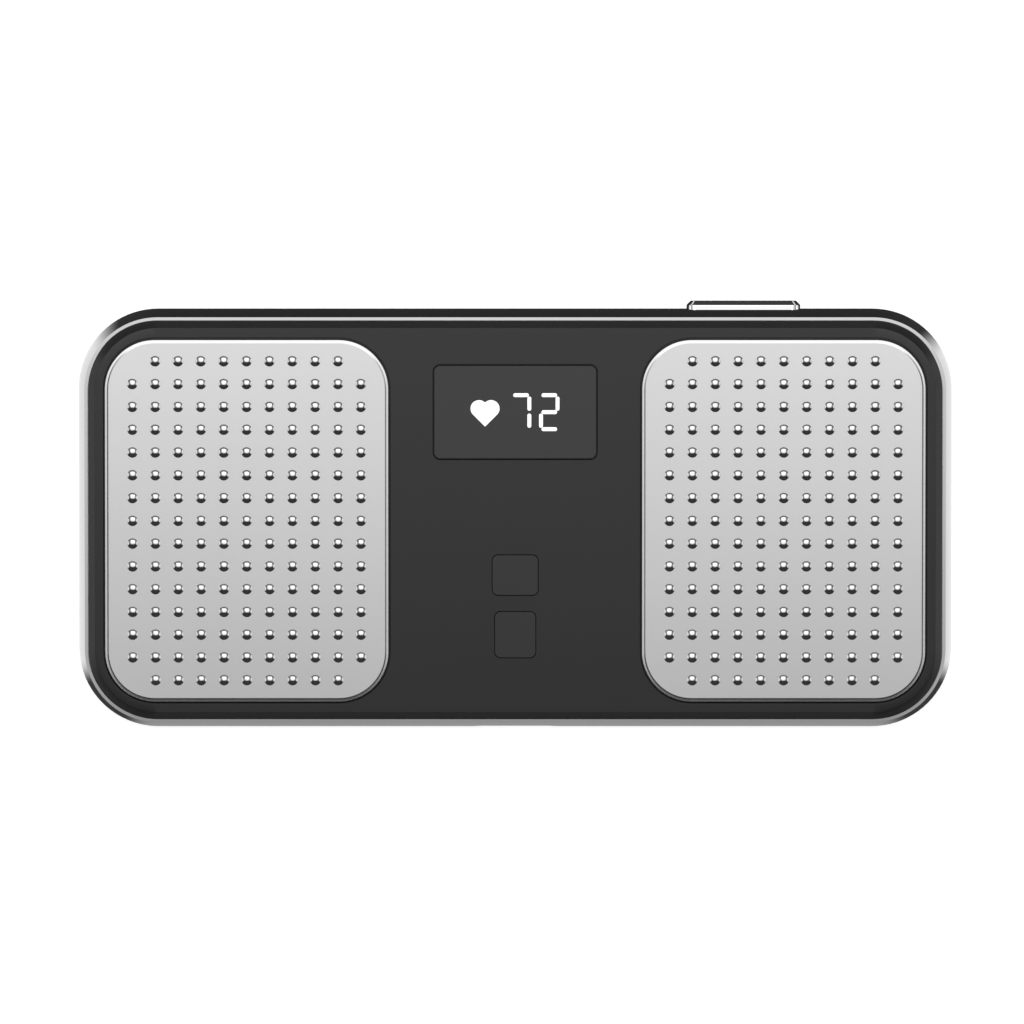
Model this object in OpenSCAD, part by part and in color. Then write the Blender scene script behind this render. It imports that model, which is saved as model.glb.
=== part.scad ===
// Pocket ECG recorder with two thumb pads, a small display, two flush keys and a side button.
// It lies on its back: +X to its right, +Y to the edge with the side button, +Z out of its panel.
// The origin is the middle of its flat back. All sizes are in millimetres.

/* [Case] */
// Width of the case across its plated band
body_w = 90; // [86:0.5:110]
// Length of the case across its plated band
body_l = 43.15; // [42.5:0.05:52]
// Thickness of the case from its back to the face of its panel
case_t = 8.6; // [8.5:0.1:10]
// Radius of the band's corners in plan
corner_r = 8.2; // [7.6:0.1:9.6]
// Wall of the band between the panel and the cover
band_t = 1.8; // [1.6:0.1:2]
// Width of the band that shows round the panel
rim_w = 1; // [0.9:0.05:1.2]
// How far the band's rims lie inside its widest line
barrel_drop = 0.69; // [0.4:0.01:0.8]
// How far the panel and the cover stand out of the band
rim_drop = 0.8; // [0.7:0.05:1]
// Depth of the seats that the band has for the panel and the cover
seat_h = 1.5; // [1.2:0.1:1.7]
// Bevel round the panel and round the cover
bevel = 0.7; // [0.3:0.05:0.8]
// Thickness of the panel
panel_t = 1.7; // [1.6:0.05:1.8]
// Thickness of the cover's floor
cover_t = 1.2; // [1:0.05:1.4]
// Seam between the band and what sits in it
seam = 0.06; // [0.03:0.01:0.1]

/* [Thumb pads] */
// Width of a pad
pad_w = 29.1; // [27:0.1:30]
// Radius of a pad's corners
pad_r = 5.1; // [4:0.1:6]
// Distance from the end of the case to a pad
pad_margin = 2.85; // [2.4:0.05:3]
// Distance from a long side of the case to a pad
pad_edge = 2.95; // [2.6:0.05:3.4]
// Thickness of a pad's plate
pad_t = 1; // [0.8:0.05:1.2]
// How far a pad stands out of the panel
pad_proud = 0.4; // [0.2:0.05:0.6]
// Rounding of a pad's upper edge
pad_round = 0.4; // [0.2:0.05:0.5]
// Open groove round a pad
pad_groove = 0.18; // [0.1:0.01:0.3]
// Distance between neighbouring domes
dome_pitch = 2.348; // [2:0.001:2.4]
// Least distance from the middle of a dome to the edge of its pad
dome_margin = 2.1; // [1.8:0.1:4]
// Diameter of a dome where it leaves the pad
dome_d = 1.1; // [0.8:0.05:1.2]
// Height of a dome above the pad
dome_h = 0.25; // [0.2:0.05:0.4]
// Thickness of the seal under a pad
seal_t = 0.2; // [0.1:0.05:0.3]
// Width of the seal under a pad
seal_w = 3; // [2:0.1:4]
// Radius of the contact stud under a pad
stud_r = 1.5; // [1.2:0.1:1.8]
// How far the contact stud reaches below the panel
stud_reach = 0.4; // [0.2:0.05:0.6]
// Radius of a pad's two locating pins
pin_r = 0.6; // [0.4:0.05:0.8]
// Distance of the locating pins from the ends of a pad
pin_inset = 6.65; // [5:0.05:9]
// Room round a stud or pin in its hole
pin_gap = 0.05; // [0.02:0.01:0.1]

/* [Window] */
// Width of the window
window_w = 16.7; // [16:0.1:18]
// Length of the window
window_l = 9.6; // [9:0.05:11]
// Radius of the window's corners
window_r = 0.65; // [0.4:0.05:1]
// Distance from the side with the side button to the middle of the window
window_inset = 10.4; // [9.5:0.1:10.7]
// Thickness of the window
window_t = 0.7; // [0.5:0.05:0.8]
// Groove round the window
window_gap = 0.1; // [0.06:0.01:0.2]
// Width of the ledge that the window is taped to
window_ledge = 1.1; // [0.8:0.1:1.4]
// Thickness of the window's tape
window_tape_t = 0.15; // [0.1:0.01:0.2]
// Thickness of the display
display_t = 0.9; // [0.7:0.05:1]
// How far the display is larger than the window's opening, on each side
display_lap = 0.8; // [0.5:0.1:1]
// Wall of the display's carrier
carrier_wall = 0.8; // [0.6:0.1:1]
// Width of the display's ribbon
ribbon_w = 8; // [6:0.5:10]
// Thickness of the display's ribbon
ribbon_t = 0.15; // [0.1:0.01:0.2]
// Reach of the display's ribbon past the display
ribbon_reach = 1.4; // [1:0.1:1.6]

/* [Keys] */
// Width of the upper key
upper_key_w = 4.7; // [4:0.05:5.5]
// Length of the upper key
upper_key_l = 4.15; // [3.8:0.05:4.6]
// Width of the lower key
lower_key_w = 4.2; // [4:0.05:5.5]
// Length of the lower key
lower_key_l = 4.75; // [4:0.05:4.9]
// Distance from the side with the charging socket to the middle of the lower key
lower_key_inset = 9.8; // [9.65:0.05:10.4]
// Strip of panel between the keys
key_space = 1.7; // [1.4:0.05:1.7]
// Radius of the keys' corners
key_r = 0.6; // [0.3:0.05:0.9]
// Groove round a key
key_gap = 0.08; // [0.06:0.01:0.2]
// How far a key's flange stands out under the panel
key_flange = 0.6; // [0.4:0.05:0.65]
// Thickness of a key's flange
key_flange_t = 0.45; // [0.35:0.05:0.5]
// Travel of a key
key_travel = 0.25; // [0.15:0.01:0.3]
// Radius of the stem that presses the snap dome
key_stem_r = 0.9; // [0.6:0.1:1.2]
// Radius of a snap dome
snap_r = 1.9; // [1.5:0.1:2]
// Height left under a snap dome that is pressed flat
snap_rest = 0.15; // [0.1:0.01:0.2]
// Thickness of a snap dome's metal
snap_t = 0.08; // [0.05:0.01:0.1]
// Room left at rest between what presses and what is pressed
touch_gap = 0.03; // [0.01:0.01:0.05]

/* [Side button] */
// Width of the side button
button_w = 11.7; // [9:0.1:13]
// Thickness of the side button
button_t = 2; // [1.6:0.1:2.4]
// Flat left in the middle of the side button's round ends
button_flat = 0.1; // [0.1:0.1:0.5]
// Bevel round the side button's outer face
button_bevel = 0.4; // [0.1:0.05:0.5]
// How far the side button stands out of the band
button_proud = 0.8; // [0.6:0.05:1.2]
// Distance from the right-hand end of the case to the side button's middle
button_inset = 21.5; // [20:0.5:24]
// Room round the side button in the band
button_gap = 0.12; // [0.08:0.01:0.2]
// How far the side button's flange stands out inside the band
button_flange = 0.8; // [0.5:0.1:0.9]
// Thickness of the side button's flange
button_flange_t = 0.6; // [0.4:0.05:0.7]
// Travel of the side button
button_travel = 0.3; // [0.2:0.01:0.35]
// Width of the side switch
switch_w = 6; // [5:0.1:7]
// Depth of the side switch
switch_l = 2.2; // [2:0.1:2.6]
// Height of the side switch
switch_t = 2.4; // [2:0.1:2.6]
// Width of the side switch's tip
tip_w = 2.4; // [2:0.1:3]
// Height of the side switch's tip
tip_t = 1.1; // [0.8:0.1:1.3]
// How far the tip stands out of the side switch
tip_reach = 0.9; // [0.6:0.1:1.1]
// Length of the tip inside the side switch
tip_root = 0.7; // [0.4:0.1:0.9]

/* [Battery] */
// Width of the battery
battery_w = 30; // [26:0.5:30.5]
// Length of the battery
battery_l = 26; // [22:0.5:26]
// Thickness of the battery
battery_t = 3; // [2.6:0.1:3.1]
// Distance from the left-hand end of the case to the battery
battery_margin = 4; // [3.5:0.1:4.5]
// Thickness of the battery's tape
battery_tape_t = 0.15; // [0.1:0.01:0.2]
// How far the battery's tape stays inside its edges
battery_tape_inset = 3; // [1:0.5:5]
// Room between the battery and the board
battery_room = 0.15; // [0.1:0.01:0.25]
// Room between the battery and the ribs round it
rib_gap = 0.2; // [0.1:0.05:0.3]
// Thickness of the ribs round the battery
rib_t = 0.8; // [0.6:0.1:1]
// Height of the ribs round the battery
rib_h = 1.6; // [1:0.1:2.2]
// Length of the battery's leads
lead_len = 2; // [1.5:0.1:2.5]
// Radius of a battery lead
lead_r = 0.4; // [0.3:0.05:0.5]
// Length of the battery's plug along its leads
plug_w = 3.6; // [3:0.1:4.2]
// Width of the battery's plug across its leads
plug_l = 5.2; // [4.6:0.1:6]
// Height of the battery's plug
plug_h = 1.6; // [1.4:0.1:1.8]

/* [Board] */
// Thickness of the board
board_t = 0.8; // [0.6:0.05:0.9]
// Room round the board
board_gap = 0.8; // [0.6:0.1:1]
// Room round what passes through the board's notches
notch_gap = 0.2; // [0.1:0.05:0.3]
// How far a soldered wing reaches over the board
wing = 1.2; // [0.9:0.1:1.5]
// Thickness of a soldered wing
wing_t = 0.3; // [0.2:0.05:0.4]
// Height of the soldered chips
chip_h = 0.9; // [0.7:0.05:1]
// Distance from the side with the charging socket to the row of chips
chip_inset = 13; // [12.5:0.1:14]
// Space between neighbouring chips
chip_space = 1.8; // [1:0.1:2]
// Height of the screening can
can_h = 1.8; // [1.5:0.1:2.1]
// Width of the screening can
can_w = 14; // [11:0.5:15]
// Length of the screening can
can_l = 12; // [9:0.5:12.5]
// Wall of the screening can
can_wall = 0.2; // [0.15:0.05:0.3]
// Distance of the screening can from the middle of the case, towards the side button
can_y = 2; // [1.5:0.1:3]
// Radius of the sounder
sounder_r = 4.2; // [3.5:0.1:4.3]
// Height of the sounder
sounder_h = 2; // [1.6:0.1:2.4]
// Distance from the side with the charging socket to the middle of the sounder
sounder_inset = 10.9; // [10:0.1:11.3]
// Side of the square amplifier chip
amplifier_side = 6; // [4:0.5:8]
// Side of the square processor chip
processor_side = 7; // [5:0.5:7.5]
// Width of the memory chip
memory_w = 6; // [5:0.5:7]
// Length of the memory chip
memory_l = 5; // [4:0.5:6]
// Width of the crystal
crystal_w = 2.5; // [2:0.1:3]
// Length of the crystal
crystal_l = 3.2; // [2.5:0.1:4]
// Width of an input filter part
filter_w = 1.6; // [1:0.1:1.8]
// Length of an input filter part
filter_l = 0.8; // [0.5:0.1:1]
// Height of an input filter part
filter_h = 0.6; // [0.4:0.1:0.8]
// Space between neighbouring filter parts
filter_space = 0.85; // [0.6:0.05:1]
// Width of the antenna
antenna_w = 7; // [5:0.5:8]
// Length of the antenna
antenna_l = 2; // [1.2:0.1:2.2]
// Height of the antenna
antenna_h = 1; // [0.6:0.1:1.2]
// Distance from the edge of the board to the antenna
antenna_edge = 1.2; // [0.8:0.1:1.6]
// Thickness of a contact leaf
leaf_t = 0.15; // [0.1:0.01:0.2]
// Width of a contact leaf
leaf_w = 2.4; // [1.6:0.1:3]
// Length of a contact leaf
leaf_l = 3.4; // [3:0.1:4]

/* [Charging socket] */
// Width of the socket's shell
port_w = 8.94; // [8.9:0.01:9]
// Height of the socket's shell
port_h = 3.26; // [3.2:0.01:3.3]
// Wall of the socket's shell
port_wall = 0.3; // [0.25:0.01:0.3]
// Length of the socket's shell
port_l = 6.9; // [6.5:0.1:7]
// How far the socket lies inside the band
port_recess = 0.4; // [0.2:0.05:0.6]
// Room round the socket in the band
port_gap = 0.1; // [0.05:0.01:0.15]
// Width of the contact tongue
tongue_w = 6.7; // [6.4:0.1:6.9]
// Thickness of the contact tongue
tongue_t = 0.7; // [0.6:0.05:0.8]
// Length of the contact tongue
tongue_l = 4.6; // [4:0.1:5]

/* [Screws] */
// Distance of the case screws from the sides of the case
screw_inset = 5.5; // [5.4:0.05:5.7]
// Radius of a case screw's shank
screw_r = 0.8; // [0.7:0.05:0.9]
// Radius of a case screw's head
screw_head_r = 1.6; // [1.4:0.05:1.7]
// Radius of the bosses that the case screws hold together
boss_r = 2; // [1.8:0.05:2.1]
// Length of the case screws
screw_l = 5.6; // [4.5:0.1:6.2]
// How far the case screws' heads lie inside the back
screw_sink = 0.05; // [0.02:0.01:0.1]
// Radius of the six-sided recess in a case screw's head, across its corners
screw_hex_r = 0.64; // [0.5:0.02:0.7]
// Depth of that recess
screw_hex_depth = 0.5; // [0.3:0.05:0.6]
// Room between the case screws' bosses and the board
boss_gap = 0.4; // [0.2:0.05:0.5]
// Radius of a board screw's shank
board_screw_r = 0.6; // [0.5:0.05:0.65]
// Radius of a board screw's head
board_head_r = 1.25; // [1.1:0.05:1.3]
// Height of a board screw's head
board_head_h = 0.5; // [0.3:0.05:0.6]
// Radius of the bosses that carry the board
board_boss_r = 1.5; // [1.3:0.05:1.6]
// Distance of the board screws beside the battery from the middle of the case
board_screw_x = 10.5; // [10.2:0.1:11]
// Distance of those board screws from the long sides of the case
board_screw_edge = 5; // [4.6:0.1:5.4]
// Distance of the other board screws from the right-hand end of the case
board_screw_end = 6.5; // [5.8:0.1:6.6]
// Distance of the other board screws from the long sides of the case
board_screw_inset = 12.5; // [12:0.1:13.5]
// Length of a board screw under its head
board_screw_l = 2; // [1.6:0.1:2.2]
// Room round a screw in its hole
screw_gap = 0.04; // [0.02:0.01:0.08]

/* [Hidden] */
$fn = 48;
cut = 1; // how far a cutting solid runs past what it cuts
bite = 0.25; // how far a boss or a dome runs into the plate that it stands on

// Heights above the back
crest_z = case_t / 2;
lip_z = case_t - rim_drop;
panel_seat_z = lip_z - seat_h;
cover_seat_z = rim_drop + seat_h;
panel_under_z = case_t - panel_t;
button_r = (button_t - button_flat) / 2;
pad_top_z = case_t + pad_proud;
pad_floor_z = pad_top_z - pad_t;
seal_floor_z = pad_floor_z - seal_t;
stud_end_z = panel_under_z - stud_reach;
board_z = cover_t + battery_tape_t + battery_t + battery_room;
board_top_z = board_z + board_t;
window_floor_z = case_t - window_t;
window_seat_z = window_floor_z - window_tape_t;
display_top_z = panel_under_z;
display_z = display_top_z - display_t;
key_flange_z = panel_under_z - touch_gap - key_flange_t;
snap_h = key_travel + snap_rest;
key_stem_z = board_top_z + snap_h + touch_gap;
boss_meet_z = cover_seat_z;

// The band's barrel is an arc through its two rims and its widest line
barrel_half = crest_z - rim_drop;
barrel_r = (barrel_half * barrel_half + barrel_drop * barrel_drop) / (2 * barrel_drop);

// Plan sizes of what fits in the band
seat_w = body_w - 2 * (rim_w + seam);
seat_l = body_l - 2 * (rim_w + seam);
seat_r = corner_r - rim_w - seam;
cave_w = body_w - 2 * band_t;
cave_l = body_l - 2 * band_t;
cave_r = corner_r - band_t;

// Places in plan
pad_l = body_l - 2 * pad_edge;
pad_x = body_w / 2 - pad_margin - pad_w / 2;
pin_y = pad_l / 2 - pin_inset;
// Domes on either side of the middle one, across a pad and along it
dome_reach_x = floor((pad_w / 2 - dome_margin) / dome_pitch);
dome_reach_y = floor((pad_l / 2 - dome_margin) / dome_pitch);
dome_r = (dome_d * dome_d / 4 + dome_h * dome_h) / (2 * dome_h);
window_y = body_l / 2 - window_inset;
lower_key_y = lower_key_inset - body_l / 2;
upper_key_y = lower_key_y + (upper_key_l + lower_key_l) / 2 + key_space;
button_x = body_w / 2 - button_inset;
band_inner_y = body_l / 2 - band_t;
flange_y = band_inner_y - touch_gap - button_flange_t;
tip_end_y = flange_y - button_travel - board_gap;
switch_y = tip_end_y - tip_reach - switch_l / 2;
port_end_y = port_recess - body_l / 2;
port_back_y = port_end_y + port_l;
battery_x = battery_margin + battery_w / 2 - body_w / 2;
battery_end_x = battery_x + battery_w / 2;
plug_x = battery_end_x + lead_len + plug_w / 2;
case_screw_x = body_w / 2 - screw_inset;
case_screw_y = body_l / 2 - screw_inset;
opening_w = window_w - 2 * window_ledge;
opening_l = window_l - 2 * window_ledge;
display_w = opening_w + 2 * display_lap;
display_l = opening_l + 2 * display_lap;
display_end_y = window_y - display_l / 2;

// Board screws: two beside the battery, two at the right-hand end
board_screw_spots = [
    [-board_screw_x, body_l / 2 - board_screw_edge],
    [-board_screw_x, board_screw_edge - body_l / 2],
    [body_w / 2 - board_screw_end, body_l / 2 - board_screw_inset],
    [body_w / 2 - board_screw_end, board_screw_inset - body_l / 2]
];

// Soldered parts. They lie round the middle of the right-hand pad.
chip_y = chip_inset - body_l / 2;
can_spot = [pad_x - 5.5, can_y];
processor_spot = [pad_x - 8, chip_y];
memory_spot = processor_spot + [(processor_side + memory_w) / 2 + chip_space, 0];
crystal_spot = processor_spot - [(processor_side + crystal_w) / 2 + chip_space, 0];
filter_spot = can_spot + [(can_w - filter_w) / 2, (can_l - filter_l) / 2];
filter_pitch = [filter_w + filter_space, filter_l + filter_space];
filter_columns = 4;
filter_rows = 3;
sounder_spot = [pad_x + sounder_r, sounder_inset - body_l / 2];
antenna_spot = [pad_x - antenna_w / 2,
    band_t + board_gap + antenna_edge + antenna_l / 2 - body_l / 2];

// ---- Shapes that repeat ----

// Sweeps a half profile round a rounded rectangle. The profile's x is the distance from the
// axis of a corner, and its y is the height.
module rim_sweep(w, l, r) {
    for (sx = [0, 1])
        for (sy = [0, 1])
            mirror([sx, 0, 0])
                mirror([0, sy, 0])
                    translate([w / 2 - r, l / 2 - r, 0])
                        rotate_extrude(angle = 90)
                            children();
    for (s = [0, 1]) {
        mirror([s, 0, 0])
            translate([w / 2 - r, 0, 0])
                rotate([90, 0, 0])
                    linear_extrude(l - 2 * r, center = true)
                        children();
        mirror([0, s, 0])
            translate([0, l / 2 - r, 0])
                rotate([90, 0, 90])
                    linear_extrude(w - 2 * r, center = true)
                        children();
    }
}

// A block with rounded corners in plan, from height z0 to height z1
module slab(w, l, r, z0, z1) {
    rim_sweep(w, l, r)
        translate([0, z0])
            square([r, z1 - z0]);
    translate([r - w / 2, r - l / 2, z0])
        cube([w - 2 * r, l - 2 * r, z1 - z0]);
}

// The same block with its upper edge bevelled
module bevelled_slab(w, l, r, z0, z1, edge) {
    rim_sweep(w, l, r)
        polygon([[0, z0], [r, z0], [r, z1 - edge], [r - edge, z1], [0, z1]]);
    translate([r - w / 2, r - l / 2, z0])
        cube([w - 2 * r, l - 2 * r, z1 - z0]);
}

// The same block with its upper edge rounded
module rounded_slab(w, l, r, z0, z1, edge) {
    rim_sweep(w, l, r)
        difference() {
            translate([0, z0])
                square([r, z1 - z0]);
            difference() {
                translate([r - edge, z1 - edge])
                    square([edge + cut, edge + cut]);
                translate([r - edge, z1 - edge])
                    circle(edge);
            }
        }
    translate([r - w / 2, r - l / 2, z0])
        cube([w - 2 * r, l - 2 * r, z1 - z0]);
}

// A plain block, placed by its middle in plan and its lower height
module block(size, spot, z0, h) {
    translate([spot[0] - size[0] / 2, spot[1] - size[1] / 2, z0])
        cube([size[0], size[1], h]);
}

// A rounded block that runs along Y, from y0 to y1, round the middle height of the case
module side_block(w, h, r, x, y0, y1) {
    translate([x, y1, crest_z])
        rotate([90, 0, 0])
            slab(w, h, r, 0, y1 - y0);
}

module at_case_screws() {
    for (sx = [-1, 1])
        for (sy = [-1, 1])
            translate([sx * case_screw_x, sy * case_screw_y, 0])
                children();
}

module at_board_screws() {
    for (spot = board_screw_spots)
        translate([spot[0], spot[1], 0])
            children();
}

// ---- Casing ----

module band_profile() {
    difference() {
        intersection() {
            translate([corner_r - barrel_r, crest_z])
                circle(barrel_r, $fn = 180);
            translate([corner_r - band_t, rim_drop])
                square([band_t + cut, case_t - 2 * rim_drop]);
        }
        translate([corner_r - band_t - cut, panel_seat_z])
            square([band_t - rim_w + cut, seat_h + cut]);
        translate([corner_r - band_t - cut, rim_drop - cut])
            square([band_t - rim_w + cut, seat_h + cut]);
    }
}

module mid_frame() {
    color("silver")
        difference() {
            rim_sweep(body_w, body_l, corner_r)
                band_profile();
            side_block(button_w + 2 * button_gap, button_t + 2 * button_gap,
                button_r + button_gap, button_x, band_inner_y - cut, body_l / 2 + cut);
            side_block(port_w + 2 * port_gap, port_h + 2 * port_gap,
                port_h / 2 - port_gap, 0, -body_l / 2 - cut, cut - band_inner_y);
        }
}

module key_opening(w, l, y) {
    translate([0, y, 0])
        slab(w + 2 * key_gap, l + 2 * key_gap, key_r + key_gap, panel_under_z - cut, case_t + cut);
}

module pad_opening(side) {
    translate([side * pad_x, 0, 0]) {
        slab(pad_w + 2 * pad_groove, pad_l + 2 * pad_groove, pad_r + pad_groove,
            seal_floor_z, case_t + cut);
        translate([0, 0, panel_under_z - cut])
            cylinder(h = case_t, r = stud_r + pin_gap);
        for (s = [-1, 1])
            translate([0, s * pin_y, panel_under_z - cut])
                cylinder(h = case_t, r = pin_r + pin_gap);
    }
}

module front_panel() {
    color("#3a3a3a")
        difference() {
            union() {
                difference() {
                    bevelled_slab(seat_w, seat_l, seat_r, panel_seat_z, case_t, bevel);
                    slab(cave_w, cave_l, cave_r, panel_seat_z - cut, panel_under_z);
                }
                at_case_screws()
                    translate([0, 0, boss_meet_z])
                        cylinder(h = panel_under_z - boss_meet_z + bite, r = boss_r);
                at_board_screws()
                    translate([0, 0, board_top_z])
                        cylinder(h = panel_under_z - board_top_z + bite, r = board_boss_r);
            }
            pad_opening(-1);
            pad_opening(1);
            translate([0, window_y, 0]) {
                slab(window_w + 2 * window_gap, window_l + 2 * window_gap,
                    window_r + window_gap, window_seat_z, case_t + cut);
                slab(opening_w, opening_l, window_r, panel_under_z - cut, case_t + cut);
            }
            key_opening(upper_key_w, upper_key_l, upper_key_y);
            key_opening(lower_key_w, lower_key_l, lower_key_y);
            at_case_screws()
                translate([0, 0, boss_meet_z - cut])
                    cylinder(h = screw_l + 2 * screw_sink - boss_meet_z + cut, r = screw_r + screw_gap);
            at_board_screws()
                translate([0, 0, board_top_z - cut])
                    cylinder(h = panel_under_z - board_top_z + cut, r = board_screw_r + screw_gap);
        }
}

module battery_rib(w, l, x, y) {
    block([w, l], [x, y], cover_t, rib_h);
}

module rear_cover() {
    rib_x = battery_w / 2 + rib_gap + rib_t / 2;
    rib_y = battery_l / 2 + rib_gap + rib_t / 2;
    color("#343434")
        difference() {
            union() {
                difference() {
                    translate([0, 0, case_t])
                        mirror([0, 0, 1])
                            bevelled_slab(seat_w, seat_l, seat_r, panel_seat_z, case_t, bevel);
                    slab(cave_w, cave_l, cave_r, cover_t, case_t);
                }
                at_case_screws()
                    translate([0, 0, cover_t - bite])
                        cylinder(h = boss_meet_z - cover_t + bite, r = boss_r);
                for (s = [-1, 1]) {
                    battery_rib(rib_t, battery_l / 2, battery_x + s * rib_x, 0);
                    battery_rib(battery_w / 2, rib_t, battery_x, s * rib_y);
                }
            }
            at_case_screws() {
                translate([0, 0, -cut])
                    cylinder(h = boss_meet_z + 2 * cut, r = screw_r + screw_gap);
                translate([0, 0, -screw_gap])
                    cylinder(h = screw_head_r - screw_r, r1 = screw_head_r + screw_gap,
                        r2 = screw_r + screw_gap);
            }
        }
}

module case_screws() {
    color("#8a8a8e")
        at_case_screws()
            translate([0, 0, screw_sink])
                difference() {
                    union() {
                        cylinder(h = screw_head_r - screw_r - screw_gap, r1 = screw_head_r - screw_sink,
                            r2 = screw_r - screw_sink / 2);
                        cylinder(h = screw_l, r = screw_r);
                    }
                    translate([0, 0, -cut])
                        cylinder(h = cut + screw_hex_depth, r = screw_hex_r, $fn = 6);
                }
}

// ---- Thumb pads ----

// A cap of a ball, with a root that ends inside the plate
module dome() {
    intersection() {
        translate([0, 0, dome_h - dome_r])
            sphere(dome_r, $fn = 24);
        translate([0, 0, -bite])
            cylinder(h = bite + dome_h + cut, r = dome_r + cut);
    }
}

module electrode(side) {
    color("#c8c8c8")
        translate([side * pad_x, 0, 0]) {
            rounded_slab(pad_w, pad_l, pad_r, pad_floor_z, pad_top_z, pad_round);
            translate([0, 0, stud_end_z])
                cylinder(h = pad_floor_z - stud_end_z + pad_t / 2, r = stud_r);
            for (s = [-1, 1])
                translate([0, s * pin_y, panel_under_z])
                    cylinder(h = pad_floor_z - panel_under_z + pad_t / 2, r = pin_r);
            for (c = [-dome_reach_x : dome_reach_x])
                for (r = [-dome_reach_y : dome_reach_y])
                    if (abs(c) < dome_reach_x || abs(r) < dome_reach_y) // none in the corners
                        translate([c * dome_pitch, r * dome_pitch, pad_top_z])
                            dome();
        }
}

module electrode_left() {
    electrode(-1);
}

module electrode_right() {
    electrode(1);
}

module seal(side) {
    color("#20242a")
        translate([side * pad_x, 0, 0])
            difference() {
                slab(pad_w, pad_l, pad_r, seal_floor_z, pad_floor_z);
                slab(pad_w - 2 * seal_w, pad_l - 2 * seal_w, pad_r - seal_w,
                    seal_floor_z - cut, pad_floor_z + cut);
            }
}

module seal_left() {
    seal(-1);
}

module seal_right() {
    seal(1);
}

// A leaf that stands on the board, folds back over itself and presses on a pad's stud
module contact(side) {
    rise = stud_end_z - board_top_z;
    color("goldenrod")
        translate([side * pad_x - leaf_l / 2, leaf_w / 2, board_top_z])
            rotate([90, 0, 0])
                linear_extrude(leaf_w)
                    union() {
                        square([leaf_l, leaf_t]);
                        translate([leaf_l - leaf_t, 0])
                            square([leaf_t, rise / 2]);
                        polygon([
                            [leaf_l, rise / 2 - leaf_t], [leaf_l, rise / 2],
                            [leaf_l / 2, rise], [leaf_l / 4, rise],
                            [leaf_l / 4, rise - leaf_t], [leaf_l / 2, rise - leaf_t]
                        ]);
                    }
}

module contact_left() {
    contact(-1);
}

module contact_right() {
    contact(1);
}

// ---- Window and display ----

module display_lens() {
    color("#434343")
        translate([0, window_y, 0])
            slab(window_w, window_l, window_r, window_floor_z, case_t);
}

module lens_tape() {
    color("#202020")
        translate([0, window_y, 0])
            difference() {
                slab(window_w, window_l, window_r, window_seat_z, window_floor_z);
                slab(opening_w, opening_l, window_r, window_seat_z - cut, window_floor_z + cut);
            }
}

module display_module() {
    color("#101418")
        block([display_w, display_l], [0, window_y], display_z, display_t);
}

module display_carrier() {
    color("#2c2c30")
        difference() {
            block([display_w, display_l], [0, window_y], board_top_z, display_z - board_top_z);
            block([display_w - 2 * carrier_wall, display_l - 2 * carrier_wall], [0, window_y],
                board_top_z - cut, display_z - board_top_z + 2 * cut);
        }
}

module display_ribbon() {
    ribbon_z = display_z + display_t / 2;
    color("#b5651d")
        translate([-ribbon_w / 2, 0, 0]) {
            translate([0, display_end_y - ribbon_reach, ribbon_z])
                cube([ribbon_w, ribbon_reach, ribbon_t]);
            translate([0, display_end_y - ribbon_reach, board_top_z])
                cube([ribbon_w, ribbon_t, ribbon_z - board_top_z + ribbon_t]);
            translate([0, display_end_y - 2 * ribbon_reach, board_top_z])
                cube([ribbon_w, ribbon_reach + ribbon_t, ribbon_t]);
        }
}

// ---- Keys ----

module key(w, l, y) {
    color("#3f3f3f")
        translate([0, y, 0]) {
            slab(w, l, key_r, key_flange_z, case_t);
            slab(w + 2 * key_flange, l + 2 * key_flange, key_r, key_flange_z,
                key_flange_z + key_flange_t);
            translate([0, 0, key_stem_z])
                cylinder(h = key_flange_z - key_stem_z + key_flange_t / 2, r = key_stem_r);
        }
}

module key_upper() {
    key(upper_key_w, upper_key_l, upper_key_y);
}

module key_lower() {
    key(lower_key_w, lower_key_l, lower_key_y);
}

// A thin metal dome that stands on the board
module snap_dome(y) {
    knee_r = 0.75 * snap_r;
    knee_h = 0.7 * snap_h;
    color("#d8d8da")
        translate([0, y, board_top_z])
            rotate_extrude()
                polygon([
                    [0, snap_h - snap_t], [0, snap_h], [snap_r / 3, snap_h],
                    [knee_r, knee_h], [snap_r, 0], [snap_r - 1.5 * snap_t, 0],
                    [knee_r - snap_t, knee_h - snap_t], [snap_r / 3, snap_h - snap_t]
                ]);
}

module snap_dome_upper() {
    snap_dome(upper_key_y);
}

module snap_dome_lower() {
    snap_dome(lower_key_y);
}

// ---- Side button ----

module side_button() {
    cap_y = body_l / 2 + button_proud;
    color("silver") {
        translate([button_x, flange_y, crest_z])
            rotate([90, 0, 180])
                mirror([1, 0, 0])
                    bevelled_slab(button_w, button_t, button_r, 0, cap_y - flange_y, button_bevel);
        side_block(button_w + 2 * button_flange, button_t + button_flange, button_r,
            button_x, flange_y, flange_y + button_flange_t);
        side_block(tip_w, tip_t, tip_t / 4, button_x, tip_end_y, flange_y + button_flange_t / 2);
    }
}

module side_switch() {
    color("#2a2a2a") {
        difference() {
            block([switch_w, switch_l], [button_x, switch_y], crest_z - switch_t / 2, switch_t);
            side_block(tip_w + 2 * pin_gap, tip_t + 2 * pin_gap, tip_t / 4, button_x,
                switch_y + switch_l / 2 - tip_root - button_travel - notch_gap,
                switch_y + switch_l / 2 + cut);
        }
        for (s = [-1, 1])
            block([wing, switch_l / 2], [button_x + s * (switch_w / 2 + wing / 2 - wing_t),
                switch_y], board_top_z, wing_t);
    }
}

module side_switch_tip() {
    color("#e8e4d8")
        side_block(tip_w, tip_t, tip_t / 4, button_x,
            switch_y + switch_l / 2 - tip_root, tip_end_y);
}

// ---- Board and what it carries ----

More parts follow.
